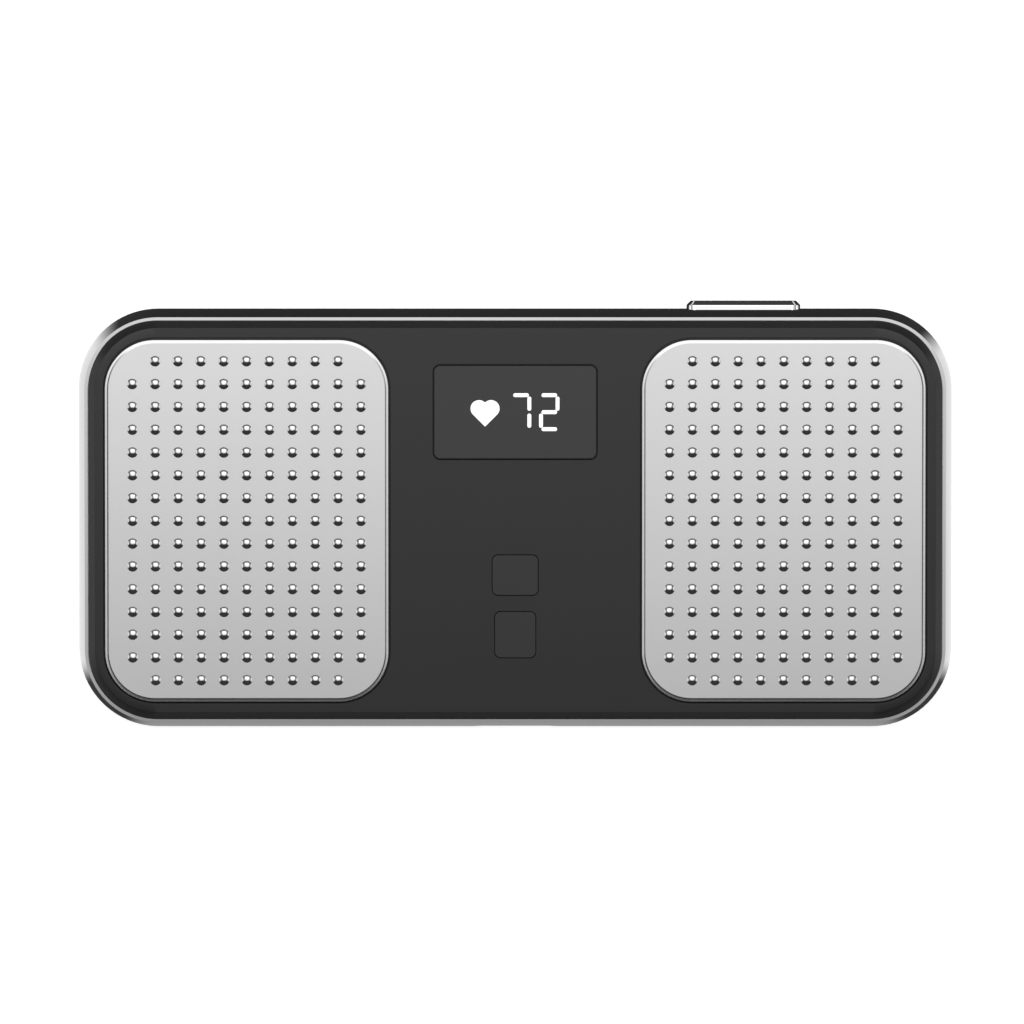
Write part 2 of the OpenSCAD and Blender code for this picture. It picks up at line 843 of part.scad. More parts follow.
module board_notch(w, l, x, y) {
    block([w, l], [x, y], board_z - cut, board_t + 2 * cut);
}

module main_board() {
    board_w = cave_w - 2 * board_gap;
    board_l = cave_l - 2 * board_gap;
    corner = screw_inset + boss_r + boss_gap - band_t; // square left out for a case screw's boss
    flange_w = button_w + 2 * (button_flange + notch_gap);
    flange_l = board_l / 2 - tip_end_y + notch_gap;
    socket_l = board_l / 2 + port_back_y + notch_gap;
    color("#1f5c3a")
        difference() {
            block([board_w, board_l], [0, 0], board_z, board_t);
            for (sx = [-1, 1])
                for (sy = [-1, 1])
                    board_notch(2 * corner, 2 * corner, sx * cave_w / 2, sy * cave_l / 2);
            board_notch(flange_w, 2 * flange_l, button_x, board_l / 2);
            board_notch(switch_w + 2 * notch_gap, switch_l + 2 * (tip_reach + notch_gap),
                button_x, switch_y + tip_reach);
            board_notch(port_w + 2 * notch_gap, 2 * socket_l, 0, -board_l / 2);
            at_board_screws()
                translate([0, 0, board_z - cut])
                    cylinder(h = board_t + 2 * cut, r = board_screw_r + 2 * screw_gap);
        }
}

module board_screws() {
    color("#b8b8bc")
        at_board_screws() {
            translate([0, 0, board_z - board_head_h])
                cylinder(h = board_head_h, r = board_head_r);
            translate([0, 0, board_z - board_head_h / 2])
                cylinder(h = board_head_h / 2 + board_screw_l, r = board_screw_r);
        }
}

module shield_can() {
    color("#c0c0c4")
        difference() {
            block([can_w, can_l], can_spot, board_z - can_h, can_h);
            block([can_w - 2 * can_wall, can_l - 2 * can_wall], can_spot,
                board_z - can_h + can_wall, can_h);
        }
}

module amplifier_chip() {
    color("#1c1c1e")
        block([amplifier_side, amplifier_side], can_spot, board_z - chip_h, chip_h);
}

module processor_chip() {
    color("#1c1c1e")
        block([processor_side, processor_side], processor_spot, board_top_z, chip_h);
}

module memory_chip() {
    color("#1c1c1e")
        block([memory_w, memory_l], memory_spot, board_top_z, chip_h);
}

module clock_crystal() {
    color("#b0b0b4")
        block([crystal_w, crystal_l], crystal_spot, board_top_z, chip_h);
}

module filter_parts() {
    color("#c9b28a")
        for (c = [0 : filter_columns - 1])
            for (r = [0 : filter_rows - 1])
                block([filter_w, filter_l], filter_spot
                    + [(c - (filter_columns - 1) / 2) * filter_pitch[0],
                       (r - (filter_rows - 1) / 2) * filter_pitch[1]],
                    board_top_z, filter_h);
}

module antenna() {
    color("#e6e2d6")
        block([antenna_w, antenna_l], antenna_spot, board_top_z, antenna_h);
}

module sounder() {
    color("#26262a")
        translate([sounder_spot[0], sounder_spot[1], board_z - sounder_h])
            cylinder(h = sounder_h, r = sounder_r);
}

// ---- Battery ----

module battery() {
    color("#9aa4ae")
        translate([battery_x, 0, 0])
            slab(battery_w, battery_l, battery_t / 4, cover_t + battery_tape_t,
                cover_t + battery_tape_t + battery_t);
}

module battery_tape() {
    color("#f0f0e8")
        block([battery_w - 2 * battery_tape_inset, battery_l - 2 * battery_tape_inset],
            [battery_x, 0], cover_t, battery_tape_t);
}

module battery_plug() {
    color("#efece0")
        block([plug_w, plug_l], [plug_x, 0], board_z - plug_h, plug_h);
}

module battery_leads() {
    color("#b02020")
        for (s = [-1, 1])
            translate([battery_end_x, s * plug_l / 4, board_z - plug_h / 2])
                rotate([0, 90, 0])
                    cylinder(h = lead_len, r = lead_r);
}

// ---- Charging socket ----

module port_shell() {
    round_r = port_h / 2 - 2 * port_gap;
    color("#c4c4c8") {
        difference() {
            side_block(port_w, port_h, round_r, 0, port_end_y, port_back_y);
            side_block(port_w - 2 * port_wall, port_h - 2 * port_wall, round_r - port_wall, 0,
                port_end_y - cut, port_back_y - port_wall);
        }
        for (s = [-1, 1]) {
            block([port_wall, wing], [s * port_w / 2, port_back_y - wing], min(crest_z, board_top_z),
                abs(crest_z - board_top_z) + wing_t);
            block([wing, wing], [s * (port_w + wing) / 2, port_back_y - wing], board_top_z, wing_t);
        }
    }
}

module port_tongue() {
    color("#1a1a1a")
        side_block(tongue_w, tongue_t, tongue_t / 4, 0, port_back_y - port_wall - tongue_l,
            port_back_y - port_wall);
}

mid_frame();
front_panel();
rear_cover();
electrode_left();
electrode_right();
seal_left();
seal_right();
contact_left();
contact_right();
display_lens();
lens_tape();
display_module();
display_carrier();
display_ribbon();
key_upper();
key_lower();
snap_dome_upper();
snap_dome_lower();
side_button();
side_switch();
side_switch_tip();
main_board();
shield_can();
amplifier_chip();
processor_chip();
memory_chip();
clock_crystal();
filter_parts();
antenna();
sounder();
battery();
battery_tape();
battery_leads();
battery_plug();
port_shell();
port_tongue();
case_screws();
board_screws();
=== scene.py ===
# %% [markdown]
# # A pocket ECG recorder
#
# This lesson dresses a small medical device: a dark panel in a plated band, two satin metal thumb
# pads with rows of domes, a display window, two flush keys and a button on the long edge.
#
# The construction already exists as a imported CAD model. We load it as a fixed frame and build the
# surfaces that show around it, at the same size and in the same place. Every number here is in
# millimetres and is turned into metres as it enters the mesh.

# %% Load the frame
import math

import bmesh
import bpy
from mathutils import Matrix, Vector


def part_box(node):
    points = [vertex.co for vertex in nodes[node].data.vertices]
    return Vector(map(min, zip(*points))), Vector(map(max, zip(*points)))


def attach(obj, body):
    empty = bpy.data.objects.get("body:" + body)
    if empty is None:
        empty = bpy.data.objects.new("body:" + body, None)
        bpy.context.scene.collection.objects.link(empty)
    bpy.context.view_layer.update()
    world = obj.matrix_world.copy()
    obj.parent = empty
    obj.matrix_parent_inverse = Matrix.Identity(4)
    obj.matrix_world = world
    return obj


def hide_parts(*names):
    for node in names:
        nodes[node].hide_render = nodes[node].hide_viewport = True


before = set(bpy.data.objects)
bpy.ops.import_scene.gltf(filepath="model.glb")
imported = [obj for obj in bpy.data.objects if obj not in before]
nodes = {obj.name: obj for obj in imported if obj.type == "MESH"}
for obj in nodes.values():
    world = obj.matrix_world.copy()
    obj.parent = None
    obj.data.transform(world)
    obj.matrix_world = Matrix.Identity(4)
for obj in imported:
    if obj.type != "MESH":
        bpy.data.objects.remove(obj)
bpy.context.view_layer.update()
scene = bpy.context.scene
MM = 0.001

# %% [markdown]
# ## Sizes that the frame gives
#
# A piece that replaces a CAD node has to stay where the node is, so its size is read from the
# node's box, and only what a box can't tell (a corner radius, a bevel) is written down. The band's
# and the panel's sizes come first, because every other piece is set against them.


# %% Sizes from the frame
def node_size(name):
    """Width, length, lowest and highest z, and the middle in plan of a CAD node, in millimetres."""
    low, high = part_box(name)
    size = (high - low) / MM
    middle = (high + low) / 2 / MM
    return size.x, size.y, low.z / MM, high.z / MM, (middle.x, middle.y)


BODY_W, BODY_L, BAND_LOW, BAND_TOP, _ = node_size("mid_frame")
_, _, _, PANEL_TOP, _ = node_size("front_panel")
HALF_W, HALF_L = BODY_W / 2, BODY_L / 2
CREST_Z = PANEL_TOP / 2
CORNER_R = 8.2
print(f"body {BODY_W:.1f} x {BODY_L:.1f} mm, band from z {BAND_LOW:.1f} to {BAND_TOP:.1f}, "
      f"panel at {PANEL_TOP:.1f}")

# %% [markdown]
# ## Drawing a profile
#
# Almost every part of this device is a rounded rectangle with a moulded edge, so one way makes them
# all: draw the edge's profile as a wire, and carry the wire round the outline. Subdivision surfaces
# would need holding loops at every edge, and booleans of plain blocks leave untidy faces, while a
# carried profile gives clean, evenly shaded strips of quads.
#
# This first tool draws the wire. Where a point of the profile has a third number, a vertex bevel
# rounds the wire there by that reach.

# %% Draw a profile
ROUND_STEPS = 3


def draw_wire(bm, points, start, closed=False):
    """Draws a profile in the XZ plane at start. A point is (x, z) or (x, z, reach of its rounding)."""
    corners = []
    verts = []
    for x, z, *reach in points:
        verts.append(bm.verts.new(((start[0] + x) * MM, start[1] * MM, z * MM)))
        if reach:
            corners.append((verts[-1], reach[0] * MM))
    loop = verts + verts[:1] if closed else verts
    for pair in zip(loop, loop[1:]):
        bm.edges.new(pair)
    for corner, reach in corners:
        bmesh.ops.bevel(bm, geom=[corner], offset=reach, segments=ROUND_STEPS, profile=0.5,
                        affect="VERTICES", material=-1)


print(f"a rounded point of a profile gets {ROUND_STEPS} steps")

# %% [markdown]
# ## Carrying it round an outline
#
# A rounded rectangle is four quarter turns with straight runs between them. The wire is spun by 90
# degrees about each corner's centre and extruded along each side. Each carried part is built in a
# mesh of its own, so that welding its ends touches nothing else, and is then joined to the piece.

# %% Carry a profile
CORNER_STEPS = 20
WELD = 1e-6


def join_into(bm, part):
    """Adds a finished stretch of mesh to bm."""
    carrier = bpy.data.meshes.new("carrier")
    part.to_mesh(carrier)
    part.free()
    bm.from_mesh(carrier)
    bpy.data.meshes.remove(carrier)


def carry_round(bm, points, width, length, radius, middle=(0, 0), closed=False):
    """Carries a profile round a rounded rectangle. A point's x is its distance out of the outline."""
    part = bmesh.new()
    half_x, half_y = width / 2 - radius, length / 2 - radius
    corners = [(half_x, half_y), (-half_x, half_y), (-half_x, -half_y), (half_x, -half_y)]
    draw_wire(part, points, (middle[0] + width / 2, middle[1] + half_y), closed)
    front = list(part.verts) + list(part.edges)
    for here, there in zip(corners, corners[1:] + corners[:1]):
        pivot = Vector((middle[0] + here[0], middle[1] + here[1], 0)) * MM
        turned = bmesh.ops.spin(part, geom=front, cent=pivot, axis=(0, 0, 1), angle=math.pi / 2,
                                steps=CORNER_STEPS, use_merge=False)["geom_last"]
        edges = [item for item in turned if isinstance(item, bmesh.types.BMEdge)]
        grown = bmesh.ops.extrude_edge_only(part, edges=edges)["geom"]
        verts = {item for item in grown if isinstance(item, bmesh.types.BMVert)}
        run = Vector((there[0] - here[0], there[1] - here[1], 0)) * MM
        bmesh.ops.translate(part, verts=list(verts), vec=run)
        front = list(verts) + [item for item in part.edges if set(item.verts) <= verts]
    bmesh.ops.remove_doubles(part, verts=part.verts, dist=WELD)
    join_into(bm, part)


print(f"a corner turns in {CORNER_STEPS} steps")

# %% [markdown]
# ## Turned parts, flats and blocks
#
# Bosses, studs and screw holes are round, so their profiles are spun a full turn, with use_merge to
# close the seam. A flat between several outlines is filled in one go from all its open edges, which
# leaves the holes open, where a single polygon could have no holes. A plain end is closed with a
# hole fill, and the few square ribs and noses are scaled blocks.

# %% Turn, fill and add a block
TURN_STEPS = 24


def turn(bm, points, middle):
    """Spins a profile of (radius, z) points once round the vertical axis at middle."""
    part = bmesh.new()
    draw_wire(part, points, middle)
    pivot = Vector((middle[0], middle[1], 0)) * MM
    bmesh.ops.spin(part, geom=list(part.verts) + list(part.edges), cent=pivot, axis=(0, 0, 1),
                   angle=2 * math.pi, steps=TURN_STEPS, use_merge=True)
    bmesh.ops.remove_doubles(part, verts=part.verts, dist=WELD)
    join_into(bm, part)


def fill_flat(bm, z):
    """Fills the flat at height z between all the open edges that lie there, holes left open."""
    bmesh.ops.remove_doubles(bm, verts=bm.verts, dist=WELD)
    edges = [edge for edge in bm.edges
             if edge.is_boundary and all(abs(vert.co.z - z * MM) < WELD for vert in edge.verts)]
    bmesh.ops.triangle_fill(bm, use_beauty=True, edges=edges, normal=(0, 0, 1))


def close_ends(bm):
    """Closes each open outline with one face."""
    bmesh.ops.holes_fill(bm, edges=[edge for edge in bm.edges if edge.is_boundary], sides=0)


def add_block(bm, size, low, high, middle):
    """Adds a closed block."""
    made = bmesh.ops.create_cube(bm, size=1)["verts"]
    bmesh.ops.scale(bm, verts=made, vec=Vector((size[0], size[1], high - low)) * MM)
    bmesh.ops.translate(bm, verts=made, vec=Vector((*middle, (low + high) / 2)) * MM)


print(f"a full turn takes {TURN_STEPS} steps")

# %% [markdown]
# ## Finishing a piece
#
# A piece becomes an object only once its mesh is closed. Its normals are turned outward, its real
# corners are marked sharp and everything else is shaded smooth. A Weighted Normal modifier then
# lets the large flat faces win over the thin strips beside them, so that a small rounding catches
# the light without bending the reflection in the flat next to it.

# %% Finish a piece
SHARP, CRISP = math.radians(36), math.radians(8)


def finish_piece(name, bm, materials, body, slot, *replaced, sharp=SHARP, soft_from=None):
    """Closes the mesh, makes the object, ties it to its body and hides the CAD nodes it replaces.
    The slot is not used.

    Faces with a material number of soft_from or more stay smooth among themselves."""
    bmesh.ops.remove_doubles(bm, verts=bm.verts, dist=WELD)
    bmesh.ops.recalc_face_normals(bm, faces=bm.faces)
    open_edges = 0
    for edge in bm.edges:
        soft = soft_from is not None and all(f.material_index >= soft_from for f in edge.link_faces)
        edge.smooth = soft or edge.calc_face_angle(math.pi) < sharp
        open_edges += not edge.is_manifold
    for face in bm.faces:
        face.smooth = True
    mesh = bpy.data.meshes.new(name)
    bm.to_mesh(mesh)
    bm.free()
    piece = bpy.data.objects.new(name, mesh)
    scene.collection.objects.link(piece)
    for material in materials:
        mesh.materials.append(material)
    even = piece.modifiers.new("even_normals", "WEIGHTED_NORMAL")
    even.keep_sharp = True
    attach(piece, body)
    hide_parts(*replaced)
    print(f"{name}: {len(mesh.polygons)} faces, {open_edges} open edges")
    return piece


print(f"sharp edges: over {math.degrees(SHARP):.0f} degrees, or {math.degrees(CRISP):.0f} on crisp pieces")

# %% [markdown]
# ## The grain that all finishes share
#
# Real finishes are never one flat value. Moulded plastic has a spark-eroded grain, bead-blasted
# metal has a finer one, and both drift slightly in tone over a few millimetres. An image texture
# could show this, but it would need unwrapping and would blur up close. Instead, one node group
# makes both effects, and puts out only values that change over the surface. The shader and its
# constant sockets stay in the material. The group's own sockets come first: what a finish sets, and
# what it gets back.

# %% Node group: sockets of the surface grain
GRAIN_INPUTS = (("Vector", "NodeSocketVector"), ("Grain Scale", "NodeSocketFloat"),
                ("Drift Scale", "NodeSocketFloat"), ("Dark", "NodeSocketColor"),
                ("Light", "NodeSocketColor"), ("Least Roughness", "NodeSocketFloat"),
                ("Most Roughness", "NodeSocketFloat"))
GRAIN_OUTPUTS = (("Color", "NodeSocketColor"), ("Roughness", "NodeSocketFloat"),
                 ("Height", "NodeSocketFloat"))

GRAIN = bpy.data.node_groups.new("surface_grain", "ShaderNodeTree")
for name, kind in GRAIN_INPUTS:
    GRAIN.interface.new_socket(name, in_out="INPUT", socket_type=kind)
for name, kind in GRAIN_OUTPUTS:
    GRAIN.interface.new_socket(name, in_out="OUTPUT", socket_type=kind)
print(f"grain group: {len(GRAIN_INPUTS)} inputs, {len(GRAIN_OUTPUTS)} outputs")

# %% [markdown]
# ## Inside the grain group
#
# A fine noise is the grain and a slow one is the drift in tone. Their equal mix picks a colour
# between dark and light and a roughness between least and most, so that a paler spot is also a
# rougher one, as it is on a worn or moulded surface. The grain alone gives the height.

# %% Node group: wiring of the surface grain
GRAIN_DETAIL, DRIFT_DETAIL = 3, 2
SHARE = 0.5


def wire_grain(group):
    """Mixes a fine noise for the grain and a slow one for the drift in tone."""
    entry = group.nodes.new("NodeGroupInput")
    leave = group.nodes.new("NodeGroupOutput")
    grain = group.nodes.new("ShaderNodeTexNoise")
    grain.inputs["Detail"].default_value = GRAIN_DETAIL
    drift = group.nodes.new("ShaderNodeTexNoise")
    drift.inputs["Detail"].default_value = DRIFT_DETAIL
    both = group.nodes.new("ShaderNodeMath")
    both.operation = "MULTIPLY_ADD"
    both.inputs[1].default_value = SHARE
    half = group.nodes.new("ShaderNodeMath")
    half.operation = "MULTIPLY"
    half.inputs[1].default_value = SHARE
    mix = group.nodes.new("ShaderNodeMix")
    mix.data_type = "RGBA"
    spread = group.nodes.new("ShaderNodeMapRange")
    link = group.links.new
    for noise, scale in ((grain, "Grain Scale"), (drift, "Drift Scale")):
        link(entry.outputs["Vector"], noise.inputs["Vector"])
        link(entry.outputs[scale], noise.inputs["Scale"])
    link(drift.outputs["Fac"], half.inputs[0])
    link(grain.outputs["Fac"], both.inputs[0])
    link(half.outputs[0], both.inputs[2])
    link(both.outputs[0], mix.inputs["Factor"])
    link(entry.outputs["Dark"], mix.inputs["A"])
    link(entry.outputs["Light"], mix.inputs["B"])
    link(both.outputs[0], spread.inputs["Value"])
    link(entry.outputs["Least Roughness"], spread.inputs["To Min"])
    link(entry.outputs["Most Roughness"], spread.inputs["To Max"])
    link(mix.outputs["Result"], leave.inputs["Color"])
    link(spread.outputs["Result"], leave.inputs["Roughness"])
    link(grain.outputs["Fac"], leave.inputs["Height"])


wire_grain(GRAIN)
print("grain group:", len(GRAIN.nodes), "nodes")

# %% [markdown]
# ## From grain to material
#
# Every finish is a Principled shader with the grain group in front of it. The group is fed with
# Object coordinates, so the grain keeps its real size and stays on the piece when it moves. A bump
# of a few micrometres stands for the grain's relief, which is far too fine for the mesh.

# %% One material on the grain group


def make_finish(name, dark, light, rough, metal=0.0, grain_mm=0.12, drift_mm=9.0, bump=0.15,
                bump_um=4.0, **sockets):
    """A material on the grain group. Colours are linear RGB, and further sockets are constants."""
    material = bpy.data.materials.new(name)
    material.use_nodes = True
    tree = material.node_tree
    shader = tree.nodes["Principled BSDF"]
    place = tree.nodes.new("ShaderNodeTexCoord")
    grain = tree.nodes.new("ShaderNodeGroup")
    grain.node_tree = GRAIN
    grain.inputs["Grain Scale"].default_value = 1 / (grain_mm * MM)
    grain.inputs["Drift Scale"].default_value = 1 / (drift_mm * MM)
    grain.inputs["Dark"].default_value = (*dark, 1)
    grain.inputs["Light"].default_value = (*light, 1)
    grain.inputs["Least Roughness"].default_value = rough[0]
    grain.inputs["Most Roughness"].default_value = rough[1]
    relief = tree.nodes.new("ShaderNodeBump")
    relief.inputs["Strength"].default_value = bump
    relief.inputs["Distance"].default_value = bump_um * MM * MM
    link = tree.links.new
    link(place.outputs["Object"], grain.inputs["Vector"])
    link(grain.outputs["Color"], shader.inputs["Base Color"])
    link(grain.outputs["Roughness"], shader.inputs["Roughness"])
    link(grain.outputs["Height"], relief.inputs["Height"])
    link(relief.outputs["Normal"], shader.inputs["Normal"])
    shader.inputs["Metallic"].default_value = metal
    for socket, value in sockets.items():
        shader.inputs[socket.replace("_", " ")].default_value = value
    return material


def grey(value, warm=0.0):
    """A linear grey, a little warm or cool."""
    return (value * (1 + warm), value, value * (1 - warm))


print("a middle grey:", grey(0.5), "and a warm one:", grey(0.5, 0.1))

# %% [markdown]
# ## Finishes that show
#
# The band and the side button are plated and almost mirror bright. The band's narrow lip is a
# little duller, as its finish is rougher, and darker, which is painted shade on its level faces.
# The pads are blasted, so they are rougher, with domes that thumbs keep polished.
# Panel and keys are black moulded plastic, the window is smoked glass, and the readout glows a
# little. Colours are pairs, from dark to light, because no real surface has only one.

# %% Finishes outside
PLATED = make_finish("plated_band", grey(0.65), grey(0.71), (0.05, 0.11), metal=1, bump=0.03)
# A darker copy of the plating for the lip: its rougher finish is real, its darker colour is painted shade.
LIP_PAINTED_SHADE = make_finish("plated_lip_painted_shade", grey(0.47), grey(0.53), (0.10, 0.16), metal=1, bump=0.05)
PLATED_CAP = make_finish("plated_cap", grey(0.83), grey(0.89), (0.02, 0.04), metal=1, bump=0.01)
PAD_METAL = make_finish("pad_metal", grey(0.60), grey(0.66), (0.16, 0.24), metal=1, grain_mm=0.06,
                        bump=0.08, bump_um=2)
PAD_POLISHED = make_finish("pad_polished", grey(0.60), grey(0.66), (0.05, 0.09), metal=1, bump=0.02)
PANEL_BLACK = make_finish("panel_black", grey(0.005), grey(0.009), (0.26, 0.34), bump=0.15,
                          Specular_IOR_Level=0.45)
COVER_BLACK = make_finish("cover_black", grey(0.014), grey(0.024), (0.48, 0.62), grain_mm=0.2,
                          bump=0.6, bump_um=8)
KEY_BLACK = make_finish("key_black", grey(0.008), grey(0.012), (0.26, 0.32), bump=0.05)
WINDOW_GLASS = make_finish("window_glass", grey(0.014), grey(0.017), (0.06, 0.10), drift_mm=14,
                           bump=0.02)
READOUT = make_finish("readout_white", grey(0.84), grey(0.9), (0.4, 0.5), Emission_Strength=0.35,
                      Emission_Color=(1, 1, 1, 1))
print(len(bpy.data.materials), "materials so far")

# %% [markdown]
# ## Finishes inside the case
#
# With the case closed, only the socket and the heads of the case screws show any of these. Whoever
# opens it should still tell brass from board and ribbon from rubber. They are plain settings of the
# same group.

# %% Finishes inside
SEAL = make_finish("seal_rubber", grey(0.012), grey(0.02), (0.6, 0.8), bump=0.4)
BRASS = make_finish("contact_brass", (0.62, 0.42, 0.14), (0.74, 0.52, 0.2), (0.2, 0.34), metal=1)
TAPE = make_finish("tape", grey(0.02), grey(0.035), (0.55, 0.7))
DISPLAY = make_finish("display_black", (0.008, 0.010, 0.014), (0.014, 0.016, 0.02), (0.05, 0.1))
MOULDED_DARK = make_finish("moulded_dark", grey(0.02), grey(0.035), (0.45, 0.6), bump=0.4)
MOULDED_PALE = make_finish("moulded_pale", grey(0.62, 0.04), grey(0.72, 0.04), (0.4, 0.55))
RIBBON = make_finish("ribbon_film", (0.36, 0.13, 0.03), (0.48, 0.2, 0.05), (0.25, 0.4))
SPRING_STEEL = make_finish("spring_steel", grey(0.55), grey(0.68), (0.18, 0.3), metal=1)
BOARD_GREEN = make_finish("board_green", (0.008, 0.07, 0.028), (0.016, 0.12, 0.05), (0.3, 0.45),
                          drift_mm=2)
CHIP_BLACK = make_finish("chip_black", grey(0.012), grey(0.02), (0.4, 0.55), bump=0.4)
CERAMIC = make_finish("ceramic_parts", grey(0.5, 0.12), grey(0.62, 0.12), (0.35, 0.5), drift_mm=1)
FOIL = make_finish("battery_foil", grey(0.42), grey(0.52), (0.3, 0.42), metal=1, grain_mm=0.4,
                   bump=0.5, bump_um=12)
LEAD_RED = make_finish("lead_red", (0.4, 0.02, 0.015), (0.5, 0.03, 0.02), (0.35, 0.5))
SCREW_STEEL = make_finish("screw_steel", grey(0.3), grey(0.4), (0.22, 0.36), metal=1)
print(len(bpy.data.materials), "materials")

# %% [markdown]
# ## The plated band
#
# The band is a deep-drawn frame whose outside is a shallow barrel, with a narrow flat lip next to
# the panel. Its profile is one closed wire: the barrel is an arc through the two rims and the
# widest line, and the steps inside are the seats of the panel and the cover.

# %% Section of the band
RIM_W = 1.0
BAND_T = 1.8
BARREL_DROP, BARREL_STEPS = 0.69, 20
SEAT_H = 1.5
LIP_LEAN = 0.008


def band_profile():
    """The band's closed section, from its upper lip down its outside and back up its inside."""
    half = CREST_Z - BAND_LOW
    arc_r = (half ** 2 + BARREL_DROP ** 2) / (2 * BARREL_DROP)
    reach = math.asin(half / arc_r)
    barrel = []
    for step in range(BARREL_STEPS + 1):
        angle = reach * (1 - 2 * step / BARREL_STEPS)
        barrel.append((arc_r * (math.cos(angle) - 1), CREST_Z + arc_r * math.sin(angle)))
    inside = [(-RIM_W, BAND_LOW - LIP_LEAN), (-RIM_W, BAND_LOW + SEAT_H), (-BAND_T, BAND_LOW + SEAT_H),
              (-BAND_T, BAND_TOP - SEAT_H), (-RIM_W, BAND_TOP - SEAT_H), (-RIM_W, BAND_TOP + LIP_LEAN)]
    return barrel + inside


band_mesh = bmesh.new()
carry_round(band_mesh, band_profile(), BODY_W, BODY_L, CORNER_R, closed=True)
bmesh.ops.recalc_face_normals(band_mesh, faces=band_mesh.faces)
print(f"band section: {len(band_profile())} points, carried to {len(band_mesh.faces)} faces")

# %% [markdown]
# ## Openings in the band
#
# The side button and the charging socket pass through the band. Here a boolean earns its keep,
# because the wall is curved: a rounded bar pushed through it leaves a clean opening. The bar is a
# carried profile too, so the opening's corners run even with those of what goes through it.

# %% Bars that cut the openings
BUTTON_W, BUTTON_T, BUTTON_R, BUTTON_GAP = 11.7, 2.0, 0.95, 0.12
PORT_W, PORT_H, PORT_R, PORT_GAP = 8.94, 3.26, 1.53, 0.1
BUTTON_LOW, BUTTON_HIGH = (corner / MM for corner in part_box("side_button"))
BUTTON_X = (BUTTON_LOW.x + BUTTON_HIGH.x) / 2
PORT_LOW, PORT_HIGH = (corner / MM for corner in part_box("port_shell"))


def rounded_bar(width, height, radius, x, y0, y1):
    """A closed rounded bar along Y at the case's middle height, as a cutter or a blank."""
    bm = bmesh.new()
    carry_round(bm, [(0, -y1), (0, -y0)], width, height, radius)
    close_ends(bm)
    bmesh.ops.rotate(bm, verts=bm.verts, cent=(0, 0, 0), matrix=Matrix.Rotation(math.pi / 2, 3, "X"))
    bmesh.ops.translate(bm, verts=bm.verts, vec=Vector((x, 0, CREST_Z)) * MM)
    bmesh.ops.recalc_face_normals(bm, faces=bm.faces)
    return bm


cutters = [
    rounded_bar(BUTTON_W + 2 * BUTTON_GAP, BUTTON_T + 2 * BUTTON_GAP, BUTTON_R + BUTTON_GAP, BUTTON_X,
                HALF_L - 2 * BAND_T, HALF_L + BAND_T),
    rounded_bar(PORT_W + 2 * PORT_GAP, PORT_H + 2 * PORT_GAP, PORT_R, 0,
                -HALF_L - BAND_T, 2 * BAND_T - HALF_L),
]
print(f"{len(cutters)} bars, for a button at x {BUTTON_X:.2f} and a socket of "
      f"{PORT_HIGH.x - PORT_LOW.x:.2f} x {PORT_HIGH.z - PORT_LOW.z:.2f} mm")

# %% [markdown]
# ## Cutting and finishing the band
#
# The exact solver does the cut, and the result is read back from the evaluated object, so that no
# boolean stays live on the piece. The two narrow lips are the only flat, level faces at the rims.
# They get the duller finish, whose darker colour is painted shade, and everything else is bright.

# %% Cut and finish the band
LEVEL, RIM_DEPTH = 0.99, 0.1


def cut_away(bm, cutters):
    """Takes the cutters out of the mesh with exact booleans and gives back the result."""
    blank = bpy.data.meshes.new("blank")
    bm.to_mesh(blank)
    bm.free()
    stock = bpy.data.objects.new("stock", blank)
    scene.collection.objects.link(stock)
    helpers = []
    for index, cutter in enumerate(cutters):
        tool_mesh = bpy.data.meshes.new(f"cutter_{index}")
        cutter.to_mesh(tool_mesh)
        cutter.free()
        tool = bpy.data.objects.new(f"cutter_{index}", tool_mesh)
        scene.collection.objects.link(tool)
        cut = stock.modifiers.new(f"cut_{index}", "BOOLEAN")
        cut.operation = "DIFFERENCE"
        cut.solver = "EXACT"
        cut.object = tool
        helpers.append(tool)
    result = bmesh.new()
    result.from_object(stock, bpy.context.evaluated_depsgraph_get())
    for helper in helpers + [stock]:
        bpy.data.objects.remove(helper)
    return result


band_mesh = cut_away(band_mesh, cutters)
# The level faces at the rims get the lip's darker copy of the plating, which is painted shade.
for face in band_mesh.faces:
    from_crest = abs(face.calc_center_median().z / MM - CREST_Z)
    at_rim = from_crest > (BAND_TOP - BAND_LOW) / 2 - RIM_DEPTH
    face.material_index = int(at_rim and abs(face.normal.z) > LEVEL)
finish_piece("band", band_mesh, [PLATED, LIP_PAINTED_SHADE], "case", "plated_band", "mid_frame")

# %% [markdown]
# ## The dark panel
#
# The panel drops into the band. It has a crisp bevel all round, recesses for the two pads, a ledged
# opening for the window and two plain openings for the keys. Each opening is a profile carried
# round its own outline, and the flat face between them is filled in one go from all their edges.
# The edge and the recesses come first. In a recess's floor are a hole for the pad's contact stud
# and two for its locating pins.

# %% Edge of the panel and recesses for the pads
BEVEL, BEVEL_EASE, EDGE_ROUND = 0.7, 0.02, 0.05
SEAM = 0.06
SEAT_W, SEAT_L = BODY_W - 2 * (RIM_W + SEAM), BODY_L - 2 * (RIM_W + SEAM)
SEAT_R = CORNER_R - RIM_W - SEAM
CAVE_STEP = BAND_T - RIM_W - SEAM
PANEL_T = 1.7
PANEL_LOW = PANEL_TOP - PANEL_T
PAD_R, PAD_GROOVE = 5.1, 0.18
SEAL_FLOOR, STUD_HOLE_R, PIN_HOLE_R, PIN_INSET = 7.8, 1.55, 0.65, 6.65
PAD_W, PAD_L, PAD_LOW, _, PAD_MIDDLE = node_size("electrode_right")
PIN_Y = PAD_L / 2 - PIN_INSET

